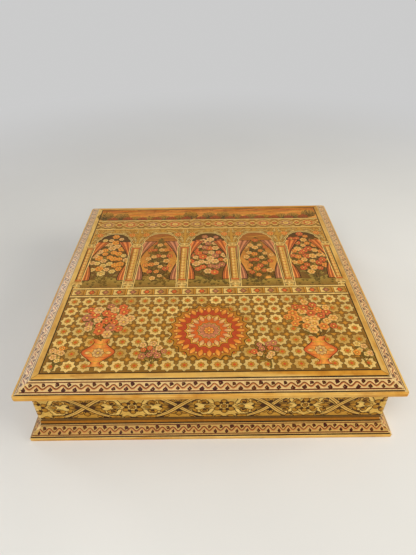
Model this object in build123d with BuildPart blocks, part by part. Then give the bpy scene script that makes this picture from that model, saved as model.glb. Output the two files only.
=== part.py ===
from build123d import *
import os
from math import atan2, cos, sin

# A low square box with a hinged lid: a joined wooden carcass faced all over with thin plates.
# Millimetres, +Z up, +Y to the back. The origin is at the middle of the footprint, on the table.
# Insets are counted inwards from the lid's outer edge, heights up from the table.

# ---- Driving dimensions: plan and overhangs ----
lid_width = 305.0           # left to right
lid_depth = 305.0           # front to back
lid_overhang = 9.75         # lid's edge beyond the faced wall
plinth_projection = 9.0     # plinth's edge beyond the faced wall

# ---- Driving dimensions: heights of the section ----
plinth_edge_height = 3.3
plinth_bevel_rise = 8.3
wall_show_height = 42.6     # faced wall between the plinth and the lid
lid_edge_height = 4.0
lid_bevel_rise = 6.4
lid_bevel_width = 11.25

# ---- Driving dimensions: boards ----
wall_thickness = 8.0
wall_lap = 4.0              # wood left at the ends of the front and back walls, outside the side walls
base_thickness = 5.0
base_rebate = 4.0           # how far the base board reaches under the walls
rail_width = 24.0
panel_thickness = 6.0
tongue_thickness = 3.0
tongue_length = 4.0
fit_gap = 0.1               # round boards that slide into rebates and grooves

# ---- Driving dimensions: facing plates and strips ----
facing_thickness = 1.5
lid_edge_thickness = 1.9
lid_edge_top_round = 1.0
lid_edge_low_round = 0.5
plinth_edge_round = 0.5
border_width = 4.6          # plain strip on the lid's top, between the bevel and the picture
wall_strip_height = 4.2     # plain strips along the foot and the head of each faced wall
seam_gap = 0.1
plates_per_run = 4
picture_courses = 4
plates_per_course = 6
foot_seam_shift = 18.0      # seams of neighbouring strips stand clear of each other
head_seam_shift = -24.0
bevel_seam_shift = -12.0
edge_seam_shift = 9.0

# ---- Driving dimensions: cloth and velvet on card ----
cloth_thickness = 0.8
cloth_margin = 0.3
floor_lining_thickness = 2.0
wall_lining_thickness = 1.6
bare_rim = 1.5              # wood left showing above the wall linings
lid_lining_thickness = 2.4
lining_gap = 0.3

# ---- Driving dimensions: hinges ----
hinge_spacing = 160.0
hinge_length = 25.0
leaf_width = 6.0            # from the pin's axis to the leaf's free edge
leaf_thickness = 1.0
leaf_corner = 0.8
knuckle_radius = 2.0
knuckle_gap = 0.2           # between knuckles, and between a knuckle and what it turns past
middle_knuckle = 8.2
pin_radius = 0.8
pin_clearance = 0.05
screw_spacing = 15.0
screw_from_pin = 4.0
screw_head_radius = 1.4
screw_head_height = 0.7
screw_shank_radius = 0.7
screw_point = 0.7
screw_slot_width = 0.35
screw_slot_depth = 0.35
screw_clearance = 0.05
wall_screw_length = 6.0
lid_screw_length = 3.2

# ---- Heights and insets that follow ----
plinth_top = plinth_edge_height + plinth_bevel_rise
rim = plinth_top + wall_show_height                     # top of the walls, underside of the lid
lid_shoulder = rim + lid_edge_height                    # top of the lid's rounded edge
lid_top = lid_shoulder + lid_bevel_rise
core_top = lid_top - facing_thickness
wall_foot = cloth_thickness
rebate_top = wall_foot + base_thickness
lined_floor = rebate_top + floor_lining_thickness

wall_face = lid_overhang
core_face = wall_face + facing_thickness
wall_inner = core_face + wall_thickness
plinth_face = wall_face - plinth_projection
bevel_inner = lid_edge_thickness + lid_bevel_width
picture_edge = bevel_inner + border_width
rail_inner = lid_edge_thickness + rail_width

lid_slope = atan2(lid_bevel_rise, lid_bevel_width)
lid_bevel_drop = facing_thickness / cos(lid_slope)      # plate's thickness measured downwards
plinth_slope = atan2(plinth_bevel_rise, plinth_projection)
plinth_bevel_drop = facing_thickness / cos(plinth_slope)
plinth_bevel_reach = facing_thickness / sin(plinth_slope)
plinth_core_top = plinth_top - plinth_bevel_drop

panel_low = core_top - panel_thickness
tongue_low = panel_low + (panel_thickness - tongue_thickness) / 2
lid_panel_face = rail_inner + fit_gap

pin_stand_off = knuckle_radius + knuckle_gap            # pin's axis from the two faces it lies between
hinge_y = lid_depth / 2 - wall_face + pin_stand_off
hinge_z = rim - pin_stand_off

# Each side's outward direction in plan.
sides = {"front": (0, -1), "right": (1, 0), "back": (0, 1), "left": (-1, 0)}


def half_run(side):
    """Half the lid's length along a side."""
    return lid_width / 2 if side in ("front", "back") else lid_depth / 2


def reach(side):
    """Distance from the box's middle to the lid's edge on a side."""
    return lid_depth / 2 if side in ("front", "back") else lid_width / 2


def section_plane(side):
    """Upright plane across a side: x outwards, y up, normal along the side."""
    out_x, out_y = sides[side]
    return Plane(origin=(0, 0, 0), x_dir=(out_x, out_y, 0), z_dir=(out_y, -out_x, 0))


def plan_plane(side):
    """Level plane of a side: x along the side, y outwards."""
    out_x, out_y = sides[side]
    return Plane(origin=(0, 0, 0), x_dir=(out_y, -out_x, 0), z_dir=(0, 0, 1))


def straight_run(side, corners, length):
    """A bar along the middle of a side, of the section with these (inset, height) corners."""
    with BuildPart() as bar:
        with BuildSketch(section_plane(side)):
            with BuildLine():
                Polyline(*[(reach(side) - inset, height) for inset, height in corners], close=True)
            make_face()
        extrude(amount=length / 2, both=True)
    return bar.part


def mitred_run(side, corners, plates=1, shift=0.0, top_round=0.0, low_round=0.0):
    """A straight run mitred at both corners, rounded outside and cut into plates by butt seams."""
    run, out = half_run(side), reach(side)
    face = min(inset for inset, height in corners)
    along = Axis((0, 0, 0), section_plane(side).z_dir)
    outwards = Axis((0, 0, 0), section_plane(side).x_dir)
    with BuildPart() as strip:
        add(straight_run(side, corners, 2 * run))
        with BuildSketch(plan_plane(side)):
            Polygon((-run, out), (run, out), (run - 2 * rail_width, out - 2 * rail_width),
                    (-run + 2 * rail_width, out - 2 * rail_width), align=None)
        extrude(amount=lid_top, mode=Mode.INTERSECT)
        if top_round:
            fillet(strip.edges().filter_by(along).group_by(outwards)[-1].sort_by(Axis.Z)[-1], top_round)
        if low_round:
            fillet(strip.edges().filter_by(along).group_by(outwards)[-1].sort_by(Axis.Z)[0], low_round)
        if plates > 1:
            pitch = 2 * (run - face) / plates
            with BuildSketch(plan_plane(side)):
                with Locations(*[(pitch * (number - plates / 2) + shift, out)
                                 for number in range(1, plates)]):
                    Rectangle(seam_gap, 4 * rail_width)
            extrude(amount=lid_top, mode=Mode.SUBTRACT)
    return strip.part


def keep(piece, name):
    """Name a finished piece and write its file."""
    piece.part.label = name
    export_step(piece.part, f"parts/{name}.step")


os.makedirs("parts", exist_ok=True)

# ---- Hinge layout. Each leaf lies on its own plane: x along the pin, y towards the free edge ----
wall_leaf_plane = Plane(origin=(0, lid_depth / 2 - wall_face, hinge_z), x_dir=(1, 0, 0), z_dir=(0, 1, 0))
lid_leaf_plane = Plane(origin=(0, hinge_y, rim), x_dir=(-1, 0, 0), z_dir=(0, 0, -1))
hinge_places = {"left": -hinge_spacing / 2, "right": hinge_spacing / 2}
screw_spots = [(place + offset, screw_from_pin) for place in hinge_places.values()
               for offset in (-screw_spacing / 2, screw_spacing / 2)]


def drill_screw_holes(plane, screw_length):
    """Cut the pilot holes behind a pair of leaves out of the piece being built."""
    with Locations(plane):
        with Locations(*screw_spots):
            Hole(screw_shank_radius + screw_clearance, screw_length - leaf_thickness + screw_clearance)


# ---- Base board, let into the rebate round the foot of the walls ----
with BuildPart() as base_board:
    with BuildSketch(Plane.XY.offset(wall_foot)):
        base_inset = wall_inner - base_rebate + fit_gap
        Rectangle(lid_width - 2 * base_inset, lid_depth - 2 * base_inset)
    extrude(amount=base_thickness)
keep(base_board, "base_board")

# ---- Cloth glued under the carcass, flush with the plinth's underside ----
with BuildPart() as base_cloth:
    with BuildSketch(Plane.XY):
        cloth_inset = core_face + cloth_margin
        Rectangle(lid_width - 2 * cloth_inset, lid_depth - 2 * cloth_inset)
    extrude(amount=cloth_thickness)
keep(base_cloth, "base_cloth")

# ---- Wall boards: the front and back lap over the ends of the side walls ----
wall_section = [
    (core_face, wall_foot),
    (core_face, rim),
    (wall_inner, rim),
    (wall_inner, rebate_top),
    (wall_inner - base_rebate, rebate_top),
    (wall_inner - base_rebate, wall_foot),
]
for side in sides:
    lapping = side in ("front", "back")
    end = half_run(side) - core_face - (0 if lapping else wall_lap)
    with BuildPart() as wall:
        add(straight_run(side, wall_section, 2 * end))
        if lapping:
            with BuildSketch(plan_plane(side)):
                with Locations((end, reach(side) - wall_inner), (-end, reach(side) - wall_inner)):
                    Rectangle(2 * wall_thickness, 2 * (wall_thickness - wall_lap))
            extrude(amount=rim, mode=Mode.SUBTRACT)
        if side == "back":
            drill_screw_holes(wall_leaf_plane, wall_screw_length)
    keep(wall, f"wall_{side}")

# ---- Plinth: a mitred moulding glued round the foot of the walls, with its facing strips ----
plinth_section = [
    (core_face, 0),
    (core_face, plinth_core_top),
    (wall_face, plinth_core_top),
    (plinth_face + plinth_bevel_reach, plinth_edge_height),
    (plinth_face + facing_thickness, plinth_edge_height),
    (plinth_face + facing_thickness, 0),
]
plinth_bevel_section = [
    (wall_face, plinth_top),
    (wall_face, plinth_core_top),
    (plinth_face + plinth_bevel_reach, plinth_edge_height),
    (plinth_face, plinth_edge_height),
]
plinth_edge_section = [
    (plinth_face, 0),
    (plinth_face, plinth_edge_height),
    (plinth_face + facing_thickness, plinth_edge_height),
    (plinth_face + facing_thickness, 0),
]
for side in sides:
    with BuildPart() as plinth:
        add(mitred_run(side, plinth_section))
    keep(plinth, f"plinth_{side}")
    with BuildPart() as plinth_bevel:
        add(mitred_run(side, plinth_bevel_section, plates_per_run, bevel_seam_shift))
    keep(plinth_bevel, f"plinth_bevel_facing_{side}")
    with BuildPart() as plinth_edge:
        add(mitred_run(side, plinth_edge_section, plates_per_run, edge_seam_shift,
                       low_round=plinth_edge_round))
    keep(plinth_edge, f"plinth_edge_facing_{side}")


# ---- Wall facings: a strip along the foot, a field of plates and a strip along the head ----
def upright_facing(low, high):
    """Section of a plate that stands on the wall board between two heights."""
    return [(wall_face, low), (wall_face, high), (core_face, high), (core_face, low)]


foot_top = plinth_top + wall_strip_height
head_low = rim - wall_strip_height
for side in sides:
    with BuildPart() as wall_facing:
        add(mitred_run(side, upright_facing(plinth_core_top, foot_top), plates_per_run, foot_seam_shift))
        add(mitred_run(side, upright_facing(foot_top + seam_gap, head_low - seam_gap), plates_per_run))
        add(mitred_run(side, upright_facing(head_low, rim), plates_per_run, head_seam_shift))
        if side == "back":
            drill_screw_holes(wall_leaf_plane, wall_screw_length)
    keep(wall_facing, f"wall_facing_{side}")

# ---- Linings of the body: the front and back panels run between the side walls ----
with BuildPart() as floor_lining:
    with BuildSketch(Plane.XY.offset(rebate_top)):
        Rectangle(lid_width - 2 * (wall_inner + lining_gap), lid_depth - 2 * (wall_inner + lining_gap))
    extrude(amount=floor_lining_thickness)
keep(floor_lining, "floor_lining")

lining_face = wall_inner + wall_lining_thickness
lining_section = [
    (wall_inner, lined_floor),
    (wall_inner, rim - bare_rim),
    (lining_face, rim - bare_rim),
    (lining_face, lined_floor),
]
for side in sides:
    stop = wall_inner if side in ("front", "back") else lining_face
    with BuildPart() as wall_lining:
        add(straight_run(side, lining_section, 2 * (half_run(side) - stop - lining_gap)))
    keep(wall_lining, f"wall_lining_{side}")

# ---- Lid: four mitred rails, grooved for the panel's tongue and bevelled outside ----
groove_low = tongue_low - fit_gap
groove_top = tongue_low + tongue_thickness + fit_gap
groove_back = rail_inner - tongue_length - fit_gap
rail_section = [
    (lid_edge_thickness, rim),
    (lid_edge_thickness, lid_shoulder - lid_bevel_drop),
    (bevel_inner, lid_top - lid_bevel_drop),
    (bevel_inner, core_top),
    (rail_inner, core_top),
    (rail_inner, groove_top),
    (groove_back, groove_top),
    (groove_back, groove_low),
    (rail_inner, groove_low),
    (rail_inner, rim),
]
lid_bevel_section = [
    (lid_edge_thickness, lid_shoulder),
    (lid_edge_thickness, lid_shoulder - lid_bevel_drop),
    (bevel_inner, lid_top - lid_bevel_drop),
    (bevel_inner, lid_top),
]
lid_edge_section = [
    (0, rim),
    (0, lid_shoulder),
    (lid_edge_thickness, lid_shoulder),
    (lid_edge_thickness, rim),
]
border_section = [
    (bevel_inner, core_top),
    (bevel_inner, lid_top),
    (picture_edge, lid_top),
    (picture_edge, core_top),
]
for side in sides:
    with BuildPart() as lid_rail:
        add(mitred_run(side, rail_section))
        if side == "back":
            drill_screw_holes(lid_leaf_plane, lid_screw_length)
    keep(lid_rail, f"lid_rail_{side}")
    with BuildPart() as lid_bevel:
        add(mitred_run(side, lid_bevel_section, plates_per_run, bevel_seam_shift))
    keep(lid_bevel, f"lid_bevel_facing_{side}")
    with BuildPart() as lid_edge:
        add(mitred_run(side, lid_edge_section, plates_per_run, edge_seam_shift,
                       lid_edge_top_round, lid_edge_low_round))
    keep(lid_edge, f"lid_edge_facing_{side}")
    with BuildPart() as border:
        add(mitred_run(side, border_section, plates_per_run, foot_seam_shift))
    keep(border, f"lid_border_{side}")

# ---- Lid panel, floating in the rails' grooves ----
with BuildPart() as lid_panel:
    with BuildSketch(Plane.XY.offset(panel_low)):
        Rectangle(lid_width - 2 * lid_panel_face, lid_depth - 2 * lid_panel_face)
    extrude(amount=panel_thickness)
    with BuildSketch(Plane.XY.offset(tongue_low)):
        Rectangle(lid_width - 2 * (rail_inner - tongue_length),
                  lid_depth - 2 * (rail_inner - tongue_length))
    extrude(amount=tongue_thickness)
keep(lid_panel, "lid_panel")

# ---- Picture plates: courses from front to back, every other course set off by half a plate ----
picture_width = lid_width - 2 * picture_edge
picture_depth = lid_depth - 2 * picture_edge
course_depth = picture_depth / picture_courses
plate_width = picture_width / plates_per_course
with BuildPart() as picture_panel:
    with BuildSketch(Plane.XY.offset(core_top)):
        Rectangle(picture_width, picture_depth)
        with GridLocations(0, course_depth, 1, picture_courses - 1):
            Rectangle(picture_width, seam_gap, mode=Mode.SUBTRACT)
        for course in range(picture_courses):
            course_y = (course - (picture_courses - 1) / 2) * course_depth
            seams = plates_per_course - 1 + course % 2
            with Locations((0, course_y)):
                with GridLocations(plate_width, 0, seams, 1):
                    Rectangle(seam_gap, course_depth, mode=Mode.SUBTRACT)
    extrude(amount=facing_thickness)
keep(picture_panel, "picture_panel")

# ---- Lid lining, in the recess between the rails ----
with BuildPart() as lid_lining:
    with BuildSketch(Plane.XY.offset(panel_low)):
        Rectangle(lid_width - 2 * (rail_inner + lining_gap), lid_depth - 2 * (rail_inner + lining_gap))
    extrude(amount=-lid_lining_thickness)
keep(lid_lining, "lid_lining")

# ---- Hinges: the wall leaves carry the outer knuckles, the lid leaves the middle one ----
outer_knuckle = (hinge_length - middle_knuckle) / 2 - knuckle_gap
outer_offset = (hinge_length - outer_knuckle) / 2
outer_knuckles = {"length": outer_knuckle, "offsets": (-outer_offset, outer_offset)}
middle_knuckles = {"length": middle_knuckle, "offsets": (0,)}


def hinge_leaf(plane, place, own, other):
    """A leaf with its knuckles, cut clear of the other leaf's, bored for the pin and countersunk."""
    pin_plane = Plane(origin=plane.from_local_coords((place, 0, pin_stand_off)),
                      x_dir=plane.y_dir, z_dir=plane.x_dir)
    with BuildPart() as leaf:
        with BuildSketch(plane):
            with Locations((place, leaf_width / 2)):
                Rectangle(hinge_length, leaf_width)
        extrude(amount=leaf_thickness)
        free_edge = Axis(plane.origin, plane.y_dir)
        corners = leaf.edges().filter_by(Axis(plane.origin, plane.z_dir)).group_by(free_edge)[-1]
        fillet(corners, leaf_corner)
        for offset in other["offsets"]:
            with BuildSketch(pin_plane.offset(offset)):
                Circle(knuckle_radius + knuckle_gap)
            extrude(amount=other["length"] / 2 + knuckle_gap, both=True, mode=Mode.SUBTRACT)
        for offset in own["offsets"]:
            with BuildSketch(pin_plane.offset(offset)):
                Circle(knuckle_radius)
            extrude(amount=own["length"] / 2, both=True)
        with BuildSketch(pin_plane):
            Circle(pin_radius + pin_clearance)
        extrude(amount=hinge_length, both=True, mode=Mode.SUBTRACT)
        with Locations(plane.offset(leaf_thickness)):
            with Locations(*[(place + offset, screw_from_pin)
                             for offset in (-screw_spacing / 2, screw_spacing / 2)]):
                CounterSinkHole(screw_shank_radius + screw_clearance,
                                screw_head_radius + screw_clearance, leaf_thickness)
    return leaf


for name, place in hinge_places.items():
    keep(hinge_leaf(wall_leaf_plane, place, outer_knuckles, middle_knuckles), f"hinge_wall_leaf_{name}")
    # the lid leaves' plane runs the other way along the pin
    keep(hinge_leaf(lid_leaf_plane, -place, middle_knuckles, outer_knuckles), f"hinge_lid_leaf_{name}")
    with BuildPart() as hinge_pin:
        with BuildSketch(Plane(origin=(place, hinge_y, hinge_z), x_dir=(0, 1, 0), z_dir=(1, 0, 0))):
            Circle(pin_radius)
        extrude(amount=hinge_length / 2, both=True)
    keep(hinge_pin, f"hinge_pin_{name}")


# ---- Screws: slotted, countersunk flush with the leaves ----
def screw_set(plane, length):
    """The screws that hold one kind of leaf, turned about their own axes."""
    with BuildPart() as screws:
        with Locations(plane.offset(leaf_thickness)):
            with Locations(*screw_spots):
                with BuildPart(mode=Mode.PRIVATE) as screw:
                    with BuildSketch(Plane.XZ):
                        Polygon((0, 0), (screw_head_radius, 0), (screw_shank_radius, -screw_head_height),
                                (screw_shank_radius, screw_point - length), (0, -length), align=None)
                    revolve(axis=Axis.Z)
                    with BuildSketch(Plane.XY):
                        Rectangle(2 * screw_head_radius, screw_slot_width)
                    extrude(amount=-screw_slot_depth, mode=Mode.SUBTRACT)
                add(screw.part)
    return screws


keep(screw_set(wall_leaf_plane, wall_screw_length), "hinge_wall_screws")
keep(screw_set(lid_leaf_plane, lid_screw_length), "hinge_lid_screws")
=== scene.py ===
import bpy
import numpy as np
from mathutils import Matrix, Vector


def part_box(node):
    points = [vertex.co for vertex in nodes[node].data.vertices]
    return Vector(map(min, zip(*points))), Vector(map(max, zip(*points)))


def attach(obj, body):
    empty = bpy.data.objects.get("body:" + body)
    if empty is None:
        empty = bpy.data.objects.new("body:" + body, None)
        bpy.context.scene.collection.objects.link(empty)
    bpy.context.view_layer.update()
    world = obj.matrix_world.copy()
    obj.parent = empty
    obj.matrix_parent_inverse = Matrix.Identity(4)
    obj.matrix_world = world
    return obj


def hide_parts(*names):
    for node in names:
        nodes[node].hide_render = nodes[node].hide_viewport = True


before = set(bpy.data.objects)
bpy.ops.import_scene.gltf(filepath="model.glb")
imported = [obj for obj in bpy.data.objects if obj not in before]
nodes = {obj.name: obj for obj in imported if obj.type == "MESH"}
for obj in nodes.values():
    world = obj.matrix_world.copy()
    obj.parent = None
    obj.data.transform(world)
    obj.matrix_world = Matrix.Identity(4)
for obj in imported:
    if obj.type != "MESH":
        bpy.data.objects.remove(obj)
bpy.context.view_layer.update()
mm = 0.001
quarters = ("front", "right", "back", "left")


def span(node):
    return [np.array(corner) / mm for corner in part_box(node)]


def linear(colour):
    # a colour of 0 to 255 as light: ((c + 0.055) / 1.055) to the power 2.4
    c = np.asarray(colour, float) / 255
    return np.where(c > 0.04045, ((c + 0.055) / 1.055) ** 2.4, c / 12.92)


def rgba(colour):
    return (*linear(colour), 1.0)


def added(name, data):
    thing = bpy.data.objects.new(name, data)
    bpy.context.scene.collection.objects.link(thing)
    return thing


# shader nodes; bench["tree"] is the node tree that is being built
bench = {"tree": None}


class Wire:
    # a shader node's output; + - and * on wires each put one more Math node in the tree
    def __init__(self, socket):
        self.socket = socket

    def __add__(self, other):
        return sums("ADD", self, other)

    def __sub__(self, other):
        return sums("SUBTRACT", self, other)

    def __mul__(self, other):
        return sums("MULTIPLY", self, other)


def give(sockets, **values):
    # links a wire, or sets a value; a key is inN or the socket's name, and colours are of 0 to 255
    for key, value in values.items():
        socket = sockets[int(key[2:]) if key[2:].isdigit() else key.replace("_", " ")]
        if isinstance(value, Wire):
            bench["tree"].links.new(value.socket, socket)
        else:
            socket.default_value = rgba(value) if socket.type == "RGBA" else value


def put(kind, out=0, **values):
    # one shader node, where lower-case keys are its settings; out=None gives all its outputs by name
    node = bench["tree"].nodes.new("ShaderNode" + kind)
    for key in [key for key in values if key[0].islower() and not key[2:].isdigit()]:
        setattr(node, key, values.pop(key))
    give(node.inputs, **values)
    return Wire(node.outputs[out]) if out is not None else {s.name: Wire(s) for s in node.outputs}


def sums(operation, a, b=0.0, c=0.0):
    return put("Math", operation=operation, in0=a, in1=b, in2=c)


def fade(value, low, high, start=0.0, end=1.0):
    # a smooth step of value from low to high
    return put("MapRange", interpolation_type="SMOOTHSTEP", Value=value, From_Min=low, From_Max=high,
               To_Min=start, To_Max=end)


def mixed(share, a, b, mode="MIX"):
    return put("Mix", 2, data_type="RGBA", blend_type=mode, in0=share, in6=a, in7=b)


def noise(place, scale, detail=2.0, rough=0.5):
    return put("TexNoise", Vector=place, Scale=scale, Detail=detail, Roughness=rough)


def drawn(place, share, along):
    # the place with x (0) or y (1) shrunk to a share, so that a pattern is drawn out that way
    return put("Mapping", Vector=place, Scale=[share if axis == along else 1.0 for axis in range(3)])


def newMaterial(name):
    material = bpy.data.materials.new(name)
    material.use_nodes = True
    bench["tree"] = material.node_tree
    return material, bench["tree"].nodes["Principled BSDF"].inputs, put("TexCoord", "Object")


# camera, floor and lamps
shot = {"focal": 436.8, "wide": 416, "high": 555, "place": (1.6, -363.6, 330.1),
        "pitch": 36.99, "yaw": -0.36, "roll": -0.99, "film": 36.0, "nearest": 0.01}
white, black = (255, 255, 255), (0, 0, 0)
studio = {"world": 0.3, "backdrop": 0.6,
          "floor": {"tone": (226, 224, 219), "cloud": (223, 221, 216), "size": 16.0, "fades": (0.28, 1.0)},
          "lamps": {"window": {"place": (-0.3, -0.85, 1.05), "size": 1.0, "watts": 10.1, "spread": 180,
                               "tone": (1, 1, 1)},
                    "fill": {"place": (1.25, -0.28, 0.44), "size": 1.2, "watts": 18.0, "spread": 180,
                             "tone": (1, 0.97, 0.88)},
                    "rear": {"place": (-1.98, 1.62, 0.36), "size": 1.1, "watts": 2.4, "spread": 50,
                             "tone": (1, 1, 1)}}}


def aimed(item, place, side, top, ahead):
    # stands an item at its place, with its own x along side, y along top and its face ahead
    turn = Matrix(np.column_stack([side, top, -ahead]).tolist()).to_4x4()
    item.matrix_world = Matrix.Translation(place) @ turn


def placeCamera():
    pitch, yaw, roll = np.radians([shot["pitch"], shot["yaw"], shot["roll"]])
    ahead = np.array([np.sin(yaw) * np.cos(pitch), np.cos(yaw) * np.cos(pitch), -np.sin(pitch)])
    right = np.array([np.cos(yaw), -np.sin(yaw), 0])
    up = np.cross(right, ahead)
    data = bpy.data.cameras.new("viewpoint")
    data.sensor_width = shot["film"]
    data.lens = shot["focal"] * shot["film"] / max(shot["wide"], shot["high"])
    data.clip_start = shot["nearest"]
    camera = added("viewpoint", data)
    aimed(camera, np.array(shot["place"]) * mm, np.cos(roll) * right + np.sin(roll) * up,
          np.cos(roll) * up - np.sin(roll) * right, ahead)
    bpy.context.scene.camera = camera


def backdropGlow():
    # the plain light level, or the paler backdrop to the camera and in reflections
    path = put("LightPath", None)
    seen = sums("MAXIMUM", path["Is Camera Ray"], path["Is Glossy Ray"])
    return fade(seen, 0.0, 1.0, studio["world"], studio["backdrop"])


def makeFloor():
    style = studio["floor"]
    half = style["size"] / 2
    mesh = bpy.data.meshes.new("floor")
    mesh.from_pydata([(-half, -half, 0), (half, -half, 0), (half, half, 0), (-half, half, 0)], [],
                     [(0, 1, 2, 3)])
    floor = added("floor", mesh)
    material, shader, place = newMaterial("plainFloor")
    pale = mixed(fade(noise(place, 5.0, 4.0), 0.3, 0.7), style["tone"], style["cloud"])
    far = fade(put("VectorMath", 1, operation="LENGTH", in0=place), *style["fades"])
    give(shader, Base_Color=mixed(far, pale, black), Emission_Strength=far * backdropGlow(),
         Emission_Color=white, Roughness=1.0, Specular_IOR_Level=0.0)
    mesh.materials.append(material)


def makeLamps():
    world = bpy.data.worlds.new("studio")
    world.use_nodes = True
    bench["tree"] = world.node_tree
    give(world.node_tree.nodes["Background"].inputs, Color=white, Strength=backdropGlow())
    bpy.context.scene.world = world
    for name, lamp in studio["lamps"].items():
        data = bpy.data.lights.new(name, "AREA")
        data.shape, data.size, data.energy = "DISK", lamp["size"], lamp["watts"]
        data.spread = np.radians(lamp["spread"])
        data.color = lamp["tone"]
        shown = added(name, data)
        shown.visible_camera = False
        ahead = -np.array(lamp["place"]) / np.linalg.norm(lamp["place"])
        side = np.cross(ahead, (0, 0, 1)) / np.linalg.norm(np.cross(ahead, (0, 0, 1)))
        aimed(shown, lamp["place"], side, np.cross(side, ahead), ahead)


placeCamera()
makeFloor()
makeLamps()
bpy.context.scene.view_settings.view_transform = "Standard"
print("camera, floor and lamps are in place")

# sizes read from the frame, in millimetres; a bevel's section runs from low and outer to top and inner
_, lidEdgeHigh = span("lid_edge_facing_right")
lidBevelLow, lidBevelHigh = span("lid_bevel_facing_right")
plinthBevelLow, plinthBevelHigh = span("plinth_bevel_facing_right")
_, wallHigh = span("wall_facing_right")
_, panelHigh = span("picture_panel")
lidSize = {"edge": lidEdgeHigh[0], "outer": lidBevelHigh[0], "inner": lidBevelLow[0],
           "low": lidEdgeHigh[2], "top": lidBevelHigh[2], "rim": wallHigh[2]}
footSize = {"outer": plinthBevelHigh[0], "inner": plinthBevelLow[0], "low": plinthBevelLow[2],
            "top": plinthBevelHigh[2]}
wallSize = {"half": wallHigh[0], "low": plinthBevelHigh[2], "high": wallHigh[2]}
pictureHalf = panelHigh[0]

# shader groups shared by the finishes; the colours are those that each adds to a piece's own
grainTones = {"boneStreak": (250, 226, 158), "bonePore": (112, 64, 26), "groundThrough": (206, 166, 96),
              "woodPale": (190, 140, 84), "woodPore": (66, 38, 18), "pit": (60, 40, 20),
              "lint": (196, 176, 150)}
# how many lumps, lines or cells of each pattern lie in a metre
patternScale = {"bone": {"mottle": 70.0, "streak": 420.0, "paler": 90.0, "canal": 620.0, "patch": 120.0},
                "wear": {"ragged": 260.0, "patch": 28.0, "dust": 1500.0},
                "seam": {"wobble": 90.0, "fading": 60.0},
                "varnish": {"fine": 2600.0, "dull": 45.0, "scratch": 1900.0, "wave": 160.0},
                "brush": {"wash": 330.0, "hairs": 1500.0, "thin": 4200.0},
                "wood": {"bend": 26.0, "rings": 58.0, "fibre": 900.0, "pores": 1900.0, "pale": 14.0},
                "metal": {"lines": 5200.0, "pits": 1400.0, "dull": 190.0},
                "velvet": {"tufts": 1500.0, "brushed": 22.0, "nap": 620.0, "lint": 2300.0}}
socketKinds = {**dict.fromkeys(("Vector", "Along", "Fine"), "NodeSocketVector"),
               **dict.fromkeys(("Colour", "Deep", "Light", "Tarnish"), "NodeSocketColor")}


def newGroup(name, takes, gives):
    # takes and gives name the sockets; one that isn't a vector or a colour is a number
    tree = bpy.data.node_groups.new(name, "ShaderNodeTree")
    for way, sockets in (("INPUT", takes), ("OUTPUT", gives)):
        for socket in sockets.split():
            kind = socketKinds.get(socket, "NodeSocketFloat")
            tree.interface.new_socket(socket, in_out=way, socket_type=kind)
    bench["tree"] = tree
    entry = tree.nodes.new("NodeGroupInput").outputs
    return [Wire(entry[socket]) for socket in takes.split()], tree.nodes.new("NodeGroupOutput").inputs


def useGroup(name, **values):
    return put("Group", None, node_tree=bpy.data.node_groups[name], **values)


def buildBoneGrain():
    # amber bone: broad mottling, streaks along the strip and small brown canals that run with them
    (place, along, colour, deep, pores), result = newGroup(
        "boneGrain", "Vector Along Colour Deep Pores", "Colour Rough Height")
    scale = patternScale["bone"]
    mottle = noise(place, scale["mottle"], 5.0, 0.6)
    streak = noise(along, scale["streak"], 6.0, 0.65)
    base = mixed(fade(mottle, 0.38, 0.72, 0.0, 0.75), colour, deep)
    paler = mixed(fade(noise(along, scale["paler"], 3.0), 0.4, 0.62, 0.0, 0.35), base,
                  grainTones["boneStreak"])
    lined = mixed(fade(streak, 0.52, 0.68, 0.0, 0.42), paler, deep)
    cells = put("TexVoronoi", "Distance", Vector=along, Scale=scale["canal"], Randomness=1.0)
    pore = fade(cells, 0.22, 0.08) * fade(noise(place, scale["patch"]), 0.56, 0.66) * pores
    give(result, Colour=mixed(pore, lined, grainTones["bonePore"]), Rough=fade(mottle, 0.3, 0.75, 0.0, 0.12),
         Height=streak * 0.35 - pore)


wearStyle = {"ragged": 1.3, "rubbed": (0.35, -0.45), "joint": (0.55, 0.12), "flake": 0.055,
             "border": 4.7}  # the border is the plain strip round the picture, inside the bevels


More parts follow.
